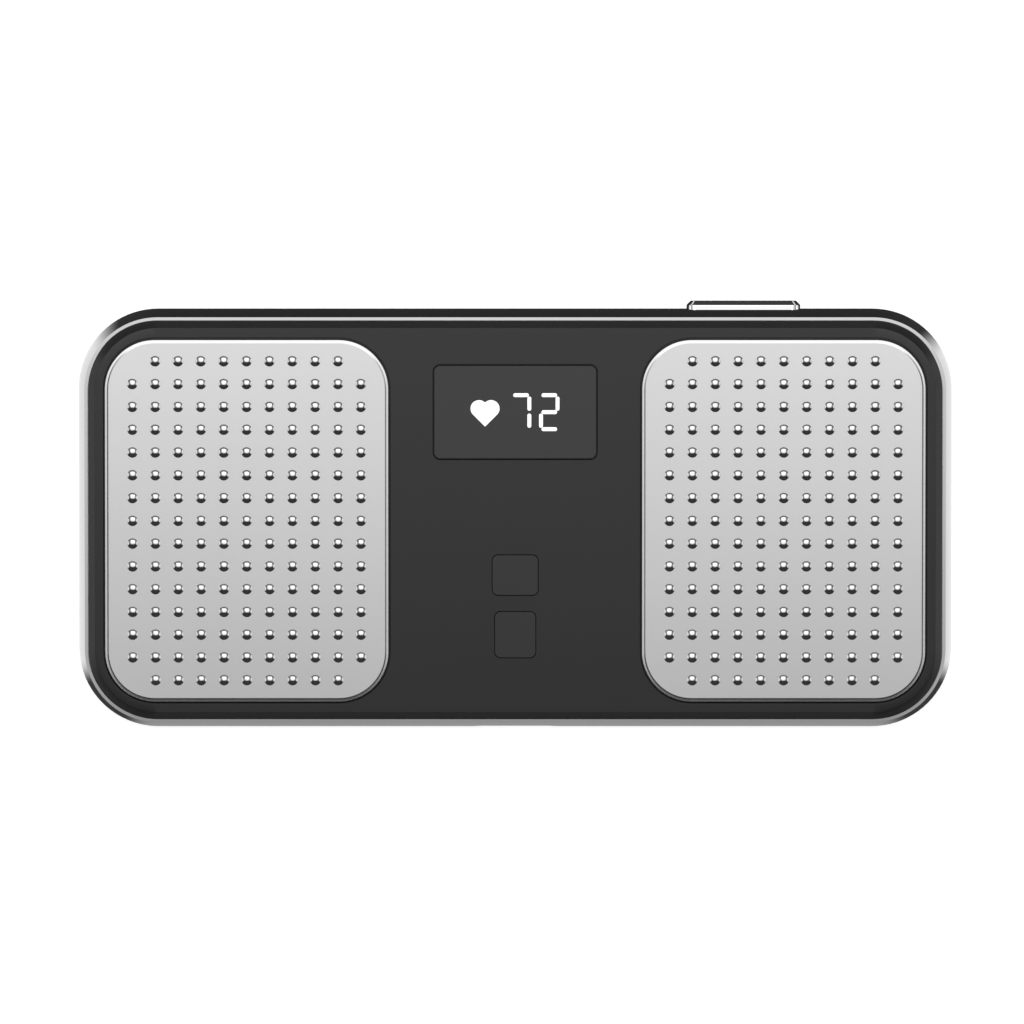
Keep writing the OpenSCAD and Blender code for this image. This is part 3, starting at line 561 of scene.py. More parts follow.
panel_mesh = bmesh.new()
carry_round(panel_mesh, [(-BEVEL - BEVEL_EASE, PANEL_TOP), (-BEVEL, PANEL_TOP, BEVEL_EASE),
                         (0, PANEL_TOP - BEVEL, EDGE_ROUND), (0, BAND_TOP - SEAT_H),
                         (-CAVE_STEP, BAND_TOP - SEAT_H), (-CAVE_STEP, PANEL_LOW)],
            SEAT_W, SEAT_L, SEAT_R)
for side in (-1, 1):
    pad_x = side * PAD_MIDDLE[0]
    carry_round(panel_mesh, [(EDGE_ROUND, PANEL_TOP), (0, PANEL_TOP - EDGE_ROUND), (0, SEAL_FLOOR)],
                PAD_W + 2 * PAD_GROOVE, PAD_L + 2 * PAD_GROOVE, PAD_R + PAD_GROOVE, (pad_x, 0))
    for hole_r, hole_y in ((STUD_HOLE_R, 0), (PIN_HOLE_R, PIN_Y), (PIN_HOLE_R, -PIN_Y)):
        turn(panel_mesh, [(hole_r, SEAL_FLOOR), (hole_r, PANEL_LOW)], (pad_x, hole_y))
print(f"panel {SEAT_W:.2f} x {SEAT_L:.2f} mm, pads {PAD_W:.1f} x {PAD_L:.2f} mm")

# %% [markdown]
# ## Openings for the window and the keys
#
# The window lies on a ledge, so its opening is two profiles: a wide one down to the ledge and a
# narrower one on from there. The keys come up from behind, through openings with a hair-thin gap.

# %% Openings for the window and the keys
WINDOW_GAP, WINDOW_R, WINDOW_LEDGE, LEDGE_Z = 0.10, 0.65, 1.1, 7.75
KEY_GAP, KEY_R, KEY_FLANGE, KEY_EASE = 0.05, 0.6, 0.6, 0.02
WINDOW_W, WINDOW_L, WINDOW_LOW, WINDOW_TOP, WINDOW_MIDDLE = node_size("display_lens")


def key_size(name):
    """Width, length, lowest z and middle of a key's visible cap."""
    width, length, low, _, middle = node_size(name)
    return width - 2 * KEY_FLANGE, length - 2 * KEY_FLANGE, low, middle


carry_round(panel_mesh, [(EDGE_ROUND, PANEL_TOP), (0, PANEL_TOP - EDGE_ROUND), (0, LEDGE_Z)],
            WINDOW_W + 2 * WINDOW_GAP, WINDOW_L + 2 * WINDOW_GAP, WINDOW_R + WINDOW_GAP, WINDOW_MIDDLE)
carry_round(panel_mesh, [(0, LEDGE_Z), (0, PANEL_LOW)], WINDOW_W - 2 * WINDOW_LEDGE,
            WINDOW_L - 2 * WINDOW_LEDGE, WINDOW_R, WINDOW_MIDDLE)
for name in ("key_upper", "key_lower"):
    width, length, _, middle = key_size(name)
    carry_round(panel_mesh, [(KEY_EASE, PANEL_TOP), (0, PANEL_TOP - KEY_EASE), (0, PANEL_LOW)],
                width + 2 * KEY_GAP, length + 2 * KEY_GAP, KEY_R + KEY_GAP, middle)
    print(f"{name}: cap {width:.2f} x {length:.2f} mm")

# %% [markdown]
# ## Bosses, flats and finish of the panel
#
# Eight bosses grow from the panel's back: four that meet the cover's and take the case screws, and
# four that carry the board. Each boss and its blind screw hole are one turned profile. Then the
# four levels of the panel are filled, which closes the piece.

# %% Bosses, flats and finish of the panel
SCREW_INSET, BOSS_R, SCREW_R, BOSS_MEET, BLIND_Z = 5.5, 2.0, 0.84, 2.3, 5.7
BOARD_BOSS_R, BOARD_SCREW_R = 1.5, 0.64
BOARD_SCREW_PLACES = ((-10.5, 5), (38.5, 12.5))
case_screw_spots = [(sx * (HALF_W - SCREW_INSET), sy * (HALF_L - SCREW_INSET))
                    for sx in (-1, 1) for sy in (-1, 1)]
board_screw_spots = [(x, side * (HALF_L - inset)) for x, inset in BOARD_SCREW_PLACES for side in (1, -1)]
_, _, _, BOARD_TOP, _ = node_size("main_board")

for spot in case_screw_spots:
    turn(panel_mesh, [(BOSS_R, PANEL_LOW), (BOSS_R, BOSS_MEET), (SCREW_R, BOSS_MEET),
                      (SCREW_R, BLIND_Z), (0, BLIND_Z)], spot)
for spot in board_screw_spots:
    turn(panel_mesh, [(BOARD_BOSS_R, PANEL_LOW), (BOARD_BOSS_R, BOARD_TOP), (BOARD_SCREW_R, BOARD_TOP),
                      (BOARD_SCREW_R, PANEL_LOW - EDGE_ROUND), (0, PANEL_LOW - EDGE_ROUND)], spot)
for level in (PANEL_TOP, SEAL_FLOOR, LEDGE_Z, PANEL_LOW):
    fill_flat(panel_mesh, level)
finish_piece("panel", panel_mesh, [PANEL_BLACK], "case", "panel_black", "front_panel")

# %% [markdown]
# ## The back cover
#
# The cover mirrors the panel: the same bevel, and a flat back with four countersunk screw holes.
# Each hole, its countersink and the boss behind it are one turned profile. The four ribs that keep
# the battery in place are plain blocks that stand on the cover's inside.

# %% Cover
COVER_T, HEAD_R, HEAD_DEEP = 1.2, 1.64, 0.8
COVER_SEAT = BAND_LOW + SEAT_H
RIB_T, RIB_H, RIB_GAP = 0.8, 1.6, 0.2
BATTERY_W, BATTERY_L, _, _, BATTERY_MIDDLE = node_size("battery")

cover_mesh = bmesh.new()
carry_round(cover_mesh, [(-BEVEL - EDGE_ROUND, 0), (-BEVEL, 0, EDGE_ROUND), (0, BEVEL, EDGE_ROUND),
                         (0, COVER_SEAT), (-CAVE_STEP, COVER_SEAT), (-CAVE_STEP, COVER_T)],
            SEAT_W, SEAT_L, SEAT_R)
for spot in case_screw_spots:
    turn(cover_mesh, [(HEAD_R, 0), (SCREW_R, HEAD_DEEP), (SCREW_R, BOSS_MEET), (BOSS_R, BOSS_MEET),
                      (BOSS_R, COVER_T)], spot)
for level in (0, COVER_T):
    fill_flat(cover_mesh, level)
for side in (-1, 1):
    rib_x = BATTERY_MIDDLE[0] + side * (BATTERY_W / 2 + RIB_GAP + RIB_T / 2)
    rib_y = side * (BATTERY_L / 2 + RIB_GAP + RIB_T / 2)
    add_block(cover_mesh, (RIB_T, BATTERY_L / 2), COVER_T, COVER_T + RIB_H, (rib_x, 0))
    add_block(cover_mesh, (BATTERY_W / 2, RIB_T), COVER_T, COVER_T + RIB_H, (BATTERY_MIDDLE[0], rib_y))
finish_piece("cover", cover_mesh, [COVER_BLACK], "case", "cover_black", "rear_cover")

# %% [markdown]
# ## The domes of the thumb pads
#
# A pad carries 161 domes: 11 across and 15 along, with the four corners left out. They could be
# scattered instances, but then each would be a ball stuck in a plate. Here a dome is an arc drawn
# by spinning one vertex, which is then spun round its own axis. It is open at its foot, so that the
# plate can be filled around it. As it is repeated, it has only a few dozen faces.

# %% One dome, and where the domes stand
PAD_TOP = 9.0
DOME_PITCH, DOME_D, DOME_H = 2.348, 1.1, 0.25
DOME_REACH_X, DOME_REACH_Y = 5, 7
DOME_SIDES, DOME_RINGS = 16, 4


def make_dome():
    """One open dome on the origin, as a mesh."""
    sphere_r = (DOME_D ** 2 / 4 + DOME_H ** 2) / (2 * DOME_H)
    reach = math.acos((sphere_r - DOME_H) / sphere_r)
    bm = bmesh.new()
    pole = bm.verts.new((0, 0, DOME_H * MM))
    pivot = (0, 0, (DOME_H - sphere_r) * MM)
    bmesh.ops.spin(bm, geom=[pole], cent=pivot, axis=(0, 1, 0), angle=reach, steps=DOME_RINGS)
    bmesh.ops.spin(bm, geom=list(bm.verts) + list(bm.edges), cent=(0, 0, 0), axis=(0, 0, 1),
                   angle=2 * math.pi, steps=DOME_SIDES, use_merge=True)
    bmesh.ops.remove_doubles(bm, verts=bm.verts, dist=WELD)
    mesh = bpy.data.meshes.new("dome")
    bm.to_mesh(mesh)
    bm.free()
    return mesh


dome_mesh = make_dome()
dome_places = [(column * DOME_PITCH, row * DOME_PITCH)
               for column in range(-DOME_REACH_X, DOME_REACH_X + 1)
               for row in range(-DOME_REACH_Y, DOME_REACH_Y + 1)
               if abs(column) < DOME_REACH_X or abs(row) < DOME_REACH_Y]
print(len(dome_places), "domes a pad, with", len(dome_mesh.polygons), "faces each")

# %% [markdown]
# ## The thumb pads
#
# A pad is a stamped and blasted metal plate with a raised, eased edge. Its edge is a carried
# profile, and its face is filled between that edge and all the domes' feet, so each pad is one
# closed skin. Behind it are a contact stud and two locating pins. The domes keep a material number
# of their own, which gives them the polished finish and smooth shading.

# %% Pads
PAD_EASE, PAD_EASE_DROP = 0.34, 0.088
LEDGE_W, LEDGE_DROP, PLATE_ROUND = 0.20, 0.018, 0.03
PLATE_T = 1.0
PLATE_LOW = PAD_TOP - PLATE_T
STUD_R, PIN_R = 1.5, 0.6


def make_pad(pad_x):
    """One thumb pad with its domes, contact stud and locating pins."""
    bm = bmesh.new()
    for x, y in dome_places:
        before = len(bm.verts)
        bm.from_mesh(dome_mesh)
        bm.verts.ensure_lookup_table()
        spot = Vector((pad_x + x, y, PAD_TOP)) * MM
        bmesh.ops.translate(bm, verts=bm.verts[before:], vec=spot)
    for face in bm.faces:
        face.material_index = 1
    ledge_z = PAD_TOP - PAD_EASE_DROP
    carry_round(bm, [(-PAD_EASE, PAD_TOP), (-LEDGE_W, ledge_z + LEDGE_DROP), (-PLATE_ROUND, ledge_z),
                     (0, ledge_z - PLATE_ROUND), (0, PLATE_LOW)], PAD_W, PAD_L, PAD_R, (pad_x, 0))
    for radius, y, low in ((STUD_R, 0, PAD_LOW), (PIN_R, PIN_Y, PANEL_LOW), (PIN_R, -PIN_Y, PANEL_LOW)):
        turn(bm, [(radius, PLATE_LOW), (radius, low), (0, low)], (pad_x, y))
    for level in (PAD_TOP, PLATE_LOW):
        fill_flat(bm, level)
    return bm


for name, node, side in (("pad_left", "electrode_left", -1), ("pad_right", "electrode_right", 1)):
    finish_piece(name, make_pad(side * PAD_MIDDLE[0]), [PAD_METAL, PAD_POLISHED], "case", "pad_metal",
                 node, sharp=CRISP, soft_from=1)
bpy.data.meshes.remove(dome_mesh)

# %% [markdown]
# ## The window
#
# The window is a smoked plate that lies flush in the panel, with a hair-thin groove round it. It is
# a carried profile like the rest, closed at both ends. A glass shader would show the dark display
# behind it and render slowly, so a dark, glossy one stands for the smoked plate.

# %% Plate of the window
window_mesh = bmesh.new()
carry_round(window_mesh, [(-EDGE_ROUND, WINDOW_TOP), (0, WINDOW_TOP - EDGE_ROUND), (0, WINDOW_LOW)],
            WINDOW_W, WINDOW_L, WINDOW_R, WINDOW_MIDDLE)
close_ends(window_mesh)
glass_faces = len(window_mesh.faces)
print(f"window {WINDOW_W:.1f} x {WINDOW_L:.1f} mm")

# %% [markdown]
# ## The numerals
#
# What the window shows is generic: a small filled heart and the number 72. A font would do for the
# number, but a seven-bar numeral is what such a display has. Each bar is a grid of one face, scaled
# to its size, with its corners rounded by a vertex bevel.

# %% Numerals
DIGIT_W, DIGIT_H, STROKE = 2.1, 3.9, 0.4
BAR_GAP, BAR_ROUND, BAR_ROUND_STEPS = 0.5, 0.18, 4
SEVEN_X, TWO_X = 0.6, 3.5
BARS = {"top": (0, 1, 0), "upper_left": (-1, 0.5, 1), "upper_right": (1, 0.5, 1), "middle": (0, 0, 0),
        "lower_left": (-1, -0.5, 1), "lower_right": (1, -0.5, 1), "bottom": (0, -1, 0)}
SEVEN = ("top", "upper_right", "lower_right")
TWO = ("top", "upper_right", "middle", "lower_left", "bottom")


def add_bar(bm, x, y, upright):
    """One bar of a numeral."""
    long_side = (DIGIT_H / 2 if upright else DIGIT_W) - BAR_GAP
    made = bmesh.ops.create_grid(bm, x_segments=1, y_segments=1, size=0.5)["verts"]
    size = (STROKE, long_side, 1) if upright else (long_side, STROKE, 1)
    bmesh.ops.scale(bm, verts=made, vec=Vector(size) * MM)
    bmesh.ops.translate(bm, verts=made, vec=Vector((x, y, WINDOW_TOP)) * MM)
    bmesh.ops.bevel(bm, geom=made, offset=BAR_ROUND * MM, segments=BAR_ROUND_STEPS, profile=0.5,
                    affect="VERTICES", material=-1)


def add_digit(bm, bars, x, y):
    """One numeral from its lit bars."""
    for bar in bars:
        across, along, upright = BARS[bar]
        add_bar(bm, x + across * (DIGIT_W - STROKE) / 2, y + along * (DIGIT_H - STROKE) / 2, upright)


print(f"numerals {DIGIT_W} x {DIGIT_H} mm")

# %% [markdown]
# ## The heart
#
# A heart is a square on its corner with a half circle on each upper side. One vertex spun twice
# draws both half circles in one line, a last point at the foot closes the outline, and a face
# fills it.

# %% Heart
HEART_SIDE, HEART_STEPS = 1.75, 16
HEART_X, HEART_Y = -3.1, -0.25


def add_heart(bm, x, y):
    """A filled heart with the middle of its square at x, y."""
    diagonal = HEART_SIDE / math.sqrt(2)
    start = bm.verts.new(Vector((x + diagonal, y, WINDOW_TOP)) * MM)
    last = start
    for side in (1, -1):
        pivot = Vector((x + side * diagonal / 2, y + diagonal / 2, 0)) * MM
        arc = bmesh.ops.spin(bm, geom=[last], cent=pivot, axis=(0, 0, 1), angle=math.pi,
                             steps=HEART_STEPS)
        last = [item for item in arc["geom_last"] if isinstance(item, bmesh.types.BMVert)][0]
    foot = bm.verts.new(Vector((x, y - diagonal, WINDOW_TOP)) * MM)
    bm.edges.new((last, foot))
    bm.edges.new((foot, start))
    wire = [edge for edge in bm.edges if not edge.link_faces]
    bmesh.ops.contextual_create(bm, geom=wire)


print(f"heart {HEART_SIDE * (1 + 1 / math.sqrt(2)):.1f} mm wide")

# %% [markdown]
# ## Readout and finish of the window
#
# Heart and numerals are flat so far. Extruding their faces by a hundredth of a millimetre makes
# closed solids of them, like ink with a little thickness, which neither flickers against the glass
# nor leaves loose faces. They are part of the window and carry its second material.

# %% Readout and finish of the window
READOUT_T = 0.01

readout = bmesh.new()
add_heart(readout, WINDOW_MIDDLE[0] + HEART_X, WINDOW_MIDDLE[1] + HEART_Y)
add_digit(readout, SEVEN, WINDOW_MIDDLE[0] + SEVEN_X, WINDOW_MIDDLE[1])
add_digit(readout, TWO, WINDOW_MIDDLE[0] + TWO_X, WINDOW_MIDDLE[1])
sheet = bmesh.ops.extrude_face_region(readout, geom=readout.faces[:], use_keep_orig=True)["geom"]
bmesh.ops.translate(readout, verts=[item for item in sheet if isinstance(item, bmesh.types.BMVert)],
                    vec=(0, 0, READOUT_T * MM))
join_into(window_mesh, readout)
window_mesh.faces.ensure_lookup_table()
for face in window_mesh.faces[glass_faces:]:
    face.material_index = 1
finish_piece("window", window_mesh, [WINDOW_GLASS, READOUT], "case", "window_glass", "display_lens")

# %% [markdown]
# ## The keys
#
# The keys are flush caps with a hidden flange that keeps them in the panel, and a stem that presses
# a snap dome. Cap and flange are one carried profile. The stem is an inset of the key's inner face
# that is then extruded, so it grows out of the cap and is not a block laid against it.

# %% Keys
KEY_ROUND, KEY_FLANGE_T, STEM_INSET = 0.03, 0.45, 1.9
SLIDE_GAP = 0.03
FLAT_SIDES = 8


def push_out(bm, z, inset, depth):
    """Insets the many-sided flat face at height z and extrudes its middle by depth."""
    faces = [face for face in bm.faces
             if len(face.verts) > FLAT_SIDES and abs(face.calc_center_median().z - z * MM) < WELD]
    bmesh.ops.inset_individual(bm, faces=faces, thickness=inset * MM)
    grown = bmesh.ops.extrude_discrete_faces(bm, faces=faces)["faces"]
    verts = list({vert for face in grown for vert in face.verts})
    bmesh.ops.translate(bm, verts=verts, vec=(0, 0, depth * MM))


def make_key(name):
    """A flush key with its flange and stem."""
    width, length, low, middle = key_size(name)
    flange_z = PANEL_LOW - SLIDE_GAP - KEY_FLANGE_T
    bm = bmesh.new()
    carry_round(bm, [(-KEY_ROUND, PANEL_TOP), (0, PANEL_TOP - KEY_ROUND), (0, flange_z + KEY_FLANGE_T),
                     (KEY_FLANGE, flange_z + KEY_FLANGE_T), (KEY_FLANGE, flange_z)],
                width, length, KEY_R, middle)
    close_ends(bm)
    push_out(bm, flange_z, STEM_INSET, low - flange_z)
    return bm


for name, body in (("key_upper", "key_upper_body"), ("key_lower", "key_lower_body")):
    finish_piece(f"{name}_cap", make_key(name), [KEY_BLACK], body, "key_black", name)

# %% [markdown]
# ## The side button
#
# The side button is a plated cap that slides in the band. It has round ends, a small bevel round
# its face, a flange that keeps it in, and a nose that presses the switch. The cap is a carried
# profile that stands upright at first and is then laid over to face the long edge.
#
# The button is hidden from mirror images. Otherwise the band next to it would mirror its bright
# face and make it look a third thicker than it is.

# %% Side button
BUTTON_BEVEL, BUTTON_FLANGE, BUTTON_FLANGE_T = 0.4, 0.4, 0.6
NOSE_W, NOSE_T = 2.4, 1.1
FACE_Y = BUTTON_HIGH.y
FLANGE_Y = HALF_L - BAND_T - SLIDE_GAP - BUTTON_FLANGE_T
FLANGE_TOP_Y = FLANGE_Y + BUTTON_FLANGE_T

button_mesh = bmesh.new()
carry_round(button_mesh, [(-BUTTON_BEVEL - EDGE_ROUND, FACE_Y), (-BUTTON_BEVEL, FACE_Y, EDGE_ROUND),
                          (0, FACE_Y - BUTTON_BEVEL, EDGE_ROUND), (0, FLANGE_TOP_Y),
                          (BUTTON_FLANGE, FLANGE_TOP_Y), (BUTTON_FLANGE, FLANGE_Y)],
            BUTTON_W, BUTTON_T, BUTTON_R)
close_ends(button_mesh)
add_block(button_mesh, (NOSE_W, NOSE_T), BUTTON_LOW.y, FLANGE_Y, (0, 0))
bmesh.ops.rotate(button_mesh, verts=button_mesh.verts, cent=(0, 0, 0),
                 matrix=Matrix.Rotation(-math.pi / 2, 3, "X"))
bmesh.ops.translate(button_mesh, verts=button_mesh.verts, vec=Vector((BUTTON_X, 0, CREST_Z)) * MM)
side_button = finish_piece("side_button_cap", button_mesh, [PLATED_CAP], "side_button_body", "plated_band",
                           "side_button")
side_button.visible_glossy = False

# %% [markdown]
# ## Pieces that stay as CAD made them
#
# The screws, the socket and everything inside the case already have the right shape. They keep
# their CAD mesh and only get a finish.

# %% Finishes for the CAD nodes
KEPT = {
    SEAL: ("seal_left", "seal_right"),
    BRASS: ("contact_left", "contact_right"),
    TAPE: ("lens_tape",),
    DISPLAY: ("display_module",),
    MOULDED_DARK: ("display_carrier", "side_switch", "port_tongue", "sounder"),
    MOULDED_PALE: ("side_switch_tip", "battery_plug", "battery_tape"),
    RIBBON: ("display_ribbon",),
    SPRING_STEEL: ("snap_dome_upper", "snap_dome_lower", "shield_can", "clock_crystal", "port_shell"),
    BOARD_GREEN: ("main_board",),
    CHIP_BLACK: ("amplifier_chip", "processor_chip", "memory_chip"),
    CERAMIC: ("filter_parts", "antenna"),
    FOIL: ("battery",),
    LEAD_RED: ("battery_leads",),
    SCREW_STEEL: ("case_screws", "board_screws"),
}
dressed = 0
for material, names in KEPT.items():
    for name in names:
        for material_slot in nodes[name].material_slots:
            material_slot.material = material
        dressed += 1
print(dressed, "CAD nodes dressed")

# %% [markdown]
# ## The studio
#
# A plated edge shows only what is round it, so the studio matters as much as the metal. It has a
# pale floor, a graded card that lies round the device, a graded soft box above it and a graded
# tent of sky. Their tones are all worked out by nodes, so the first tools empty a node tree, place
# a Math node and lay a smooth ramp of greys over any value.

# %% Tools for node trees


def new_tree(owner):
    """Empties the node tree of a material or world and returns it."""
    owner.use_nodes = True
    owner.node_tree.nodes.clear()
    return owner.node_tree


def math_node(tree, operation, *values):
    """A Math node. Each value is a number or an output socket."""
    node = tree.nodes.new("ShaderNodeMath")
    node.operation = operation
    for socket, value in zip(node.inputs, values):
        if isinstance(value, (int, float)):
            socket.default_value = value
        else:
            tree.links.new(value, socket)
    return node.outputs[0]


def ramp_node(tree, factor, low, high, stops):
    """A smooth grey ramp over factor, from low to high, with (place, grey) stops."""
    spread = tree.nodes.new("ShaderNodeMapRange")
    spread.inputs["From Min"].default_value = low
    spread.inputs["From Max"].default_value = high
    tree.links.new(factor, spread.inputs["Value"])
    node = tree.nodes.new("ShaderNodeValToRGB")
    node.color_ramp.interpolation = "EASE"
    for _ in stops[2:]:
        node.color_ramp.elements.new(0.5)
    for element, (place, value) in zip(node.color_ramp.elements, stops):
        element.position = (place - low) / (high - low)
        element.color = (value, value, value, 1)
    tree.links.new(spread.outputs["Result"], node.inputs["Fac"])
    return node.outputs["Color"]


print("tools for node trees:", ", ".join(tool.__name__ for tool in (new_tree, math_node, ramp_node)))

# %% [markdown]
# ## Sheets of the stage
#
# Floor, card and soft box are flat, so each is a grid of one face, scaled and moved to its place.

# %% Sheets


def lay_sheet(name, low, high, z, material):
    """A flat sheet of the stage between two corners, in millimetres."""
    bm = bmesh.new()
    made = bmesh.ops.create_grid(bm, x_segments=1, y_segments=1, size=0.5)["verts"]
    bmesh.ops.scale(bm, verts=made, vec=Vector((high[0] - low[0], high[1] - low[1], 1)) * MM)
    middle = Vector(((low[0] + high[0]) / 2, (low[1] + high[1]) / 2, z)) * MM
    bmesh.ops.translate(bm, verts=made, vec=middle)
    mesh = bpy.data.meshes.new(name)
    bm.to_mesh(mesh)
    bm.free()
    mesh.materials.append(material)
    sheet = bpy.data.objects.new(name, mesh)
    scene.collection.objects.link(sheet)
    print(f"{name}: {high[0] - low[0]:.0f} x {high[1] - low[1]:.0f} mm at z {z}")
    return sheet


print("tool for sheets:", lay_sheet.__name__)

# %% [markdown]
# ## The floor
#
# The floor is matt and pale, so it keeps the device's soft shadow. A little emission, for camera
# rays and mirrored rays only, lifts it to white in the picture without throwing more light on the
# device. From below it is see-through, so that the back of the device can be looked at, and it lies
# a hair under the device, so that the two flats don't fight for the same pixels.

# %% Floor
FLOOR_HALF, FLOOR_Z, FLOOR_TONE = 2500, -0.02, 0.8
FLOOR_SEEN, FLOOR_MIRRORED = 0.6, 0.3

floor_white = bpy.data.materials.new("floor_white")
tree = new_tree(floor_white)
matt = tree.nodes.new("ShaderNodeBsdfDiffuse")
matt.inputs["Color"].default_value = (FLOOR_TONE, FLOOR_TONE, FLOOR_TONE, 1)
path = tree.nodes.new("ShaderNodeLightPath")
mirrored = math_node(tree, "MAXIMUM", path.outputs["Is Glossy Ray"], path.outputs["Is Transmission Ray"])
seen = math_node(tree, "MULTIPLY", path.outputs["Is Camera Ray"], FLOOR_SEEN)
lift = math_node(tree, "MULTIPLY_ADD", mirrored, FLOOR_MIRRORED, seen)
glow = tree.nodes.new("ShaderNodeEmission")
both = tree.nodes.new("ShaderNodeAddShader")
clear = tree.nodes.new("ShaderNodeBsdfTransparent")
one_way = tree.nodes.new("ShaderNodeMixShader")
under = tree.nodes.new("ShaderNodeNewGeometry")
leave = tree.nodes.new("ShaderNodeOutputMaterial")
tree.links.new(lift, glow.inputs["Strength"])
tree.links.new(matt.outputs[0], both.inputs[0])
tree.links.new(glow.outputs[0], both.inputs[1])
tree.links.new(under.outputs["Backfacing"], one_way.inputs["Fac"])
tree.links.new(both.outputs[0], one_way.inputs[1])
tree.links.new(clear.outputs[0], one_way.inputs[2])
tree.links.new(one_way.outputs[0], leave.inputs["Surface"])
lay_sheet("floor", (-FLOOR_HALF, -FLOOR_HALF), (FLOOR_HALF, FLOOR_HALF), FLOOR_Z, floor_white)

# %% [markdown]
# ## The graded card
#
# Product photographers lay graded card round a shiny edge to draw its dark and pale lines. The
# barrel of the band mirrors the floor right beside it, so the card is what gives the band its tones.
# They change with the angle about the corners, from dark beside the long edges to pale beside the
# short ones, and the near and the far half have a run of tones each. The far tones lie a little to
# the right, as the light in the photograph does. Only mirrored rays see the card.

# %% Tools and tones of the card
QUARTER_TURN = 90
CARD_FAR = ((0, 0.03), (36, 0.04), (64, 1.0), (QUARTER_TURN, 0.98))
CARD_NEAR = ((0, 0.37), (5, 0.36), (28, 0.05), (60, 0.05), (80, 0.98), (QUARTER_TURN, 0.98))


def mirror_only(sheet):
    """Hides a sheet of the stage from all rays but reflected ones."""
    sheet.visible_camera = False
    sheet.visible_diffuse = False
    sheet.visible_shadow = False
    sheet.visible_transmission = False


def plan_position(tree):
    """Object coordinates in millimetres, as x and y sockets."""
    place = tree.nodes.new("ShaderNodeTexCoord")
    split = tree.nodes.new("ShaderNodeSeparateXYZ")
    tree.links.new(place.outputs["Object"], split.inputs[0])
    return [math_node(tree, "DIVIDE", split.outputs[axis], MM) for axis in ("X", "Y")]


def past_corner(tree, place, start):
    """How far a coordinate lies past the start of the corner on either side, and 0 between them."""
    beyond = math_node(tree, "SUBTRACT", math_node(tree, "ABSOLUTE", place), start)
    return math_node(tree, "MAXIMUM", beyond, 0)


def corner_tone(tree, past_x, past_y, tones):
    """A grey that follows the angle about a corner, in degrees from the long edge's side."""
    angle = math_node(tree, "DEGREES", math_node(tree, "ARCTAN2", past_x, past_y))
    return ramp_node(tree, angle, 0, QUARTER_TURN, tones)


def glow_with(tree, colour):
    """Ends a tree in an emission of the given colour."""
    glow = tree.nodes.new("ShaderNodeEmission")
    leave = tree.nodes.new("ShaderNodeOutputMaterial")
    tree.links.new(colour, glow.inputs["Color"])
    tree.links.new(glow.outputs[0], leave.inputs["Surface"])


print(f"card tones: {len(CARD_FAR)} far, {len(CARD_NEAR)} near")

# %% [markdown]
# ## Laying the card
#
# The angle about a corner comes from how far a spot lies past the corner's start across and along,
# and that is 0 beside the straight sides, so each side keeps one tone. The card reaches a short way
# past the device on three sides and far out in front, where the band's near side mirrors it.

# %% Card
CARD_Z, CARD_REACH, CARD_DEEP, CARD_SHIFT = 0.03, 30, 260, 1.3

graded_card = bpy.data.materials.new("graded_card")
tree = new_tree(graded_card)
x, y = plan_position(tree)
past_y = past_corner(tree, y, HALF_L - CORNER_R)
far_x = past_corner(tree, math_node(tree, "SUBTRACT", x, CARD_SHIFT), HALF_W - CORNER_R)
near_x = past_corner(tree, x, HALF_W - CORNER_R)
tone = tree.nodes.new("ShaderNodeMix")
tone.data_type = "RGBA"
tree.links.new(math_node(tree, "GREATER_THAN", y, 0), tone.inputs["Factor"])
tree.links.new(corner_tone(tree, near_x, past_y, CARD_NEAR), tone.inputs["A"])
tree.links.new(corner_tone(tree, far_x, past_y, CARD_FAR), tone.inputs["B"])
glow_with(tree, tone.outputs["Result"])
card_low = (-HALF_W - CARD_REACH, -HALF_L - CARD_DEEP)
card_high = (HALF_W + CARD_REACH, HALF_L + CARD_REACH)
mirror_only(lay_sheet("card", card_low, card_high, CARD_Z, graded_card))

# %% [markdown]
# ## The graded soft box
#
# The pads, the panel and the domes mirror what is above them. A soft box that is dark in front,
# brightens towards the back and dims beyond its sides gives the pads their even fall in tone and
# each dome its round highlight over a dark foot. An area lamp can't be graded, so the box is a
# sheet with an emission ramp, seen by mirrored rays alone.

# %% Soft box
BOX_Z, BOX_REACH, BOX_NEAR, BOX_FAR = 300, 390, -140, 560
BOX_HALF_W, BOX_FADE, BOX_SPREAD, BOX_DIM = 170, 40, 0.5, 0.4
BOX_TONE = ((-140, 0.04), (-95, 0.08), (-45, 0.75), (0, 1.1), (50, 1.7), (560, 1.7))

graded_box = bpy.data.materials.new("graded_box")
tree = new_tree(graded_box)
x, y = plan_position(tree)
tone = ramp_node(tree, y, BOX_NEAR, BOX_FAR, BOX_TONE)
spread = math_node(tree, "MULTIPLY", math_node(tree, "MAXIMUM", y, 0), BOX_SPREAD)
inward = math_node(tree, "SUBTRACT", math_node(tree, "ABSOLUTE", x), spread)
edge = ramp_node(tree, inward, BOX_HALF_W - BOX_FADE, BOX_HALF_W,
                 ((BOX_HALF_W - BOX_FADE, 1), (BOX_HALF_W, BOX_DIM)))
faded = tree.nodes.new("ShaderNodeMix")
faded.data_type = "RGBA"
faded.blend_type = "MULTIPLY"
faded.inputs["Factor"].default_value = 1
tree.links.new(tone, faded.inputs["A"])
tree.links.new(edge, faded.inputs["B"])
glow_with(tree, faded.outputs["Result"])
mirror_only(lay_sheet("soft_box", (-BOX_REACH, BOX_NEAR), (BOX_REACH, BOX_FAR), BOX_Z, graded_box))

# %% [markdown]
# ## The lamp
#
# One broad lamp overhead lights the matt surfaces at a plain level, at which a colour renders about
# as it is written. It is hidden from the camera and from mirrored rays, because the soft box is
# what the metal should show.

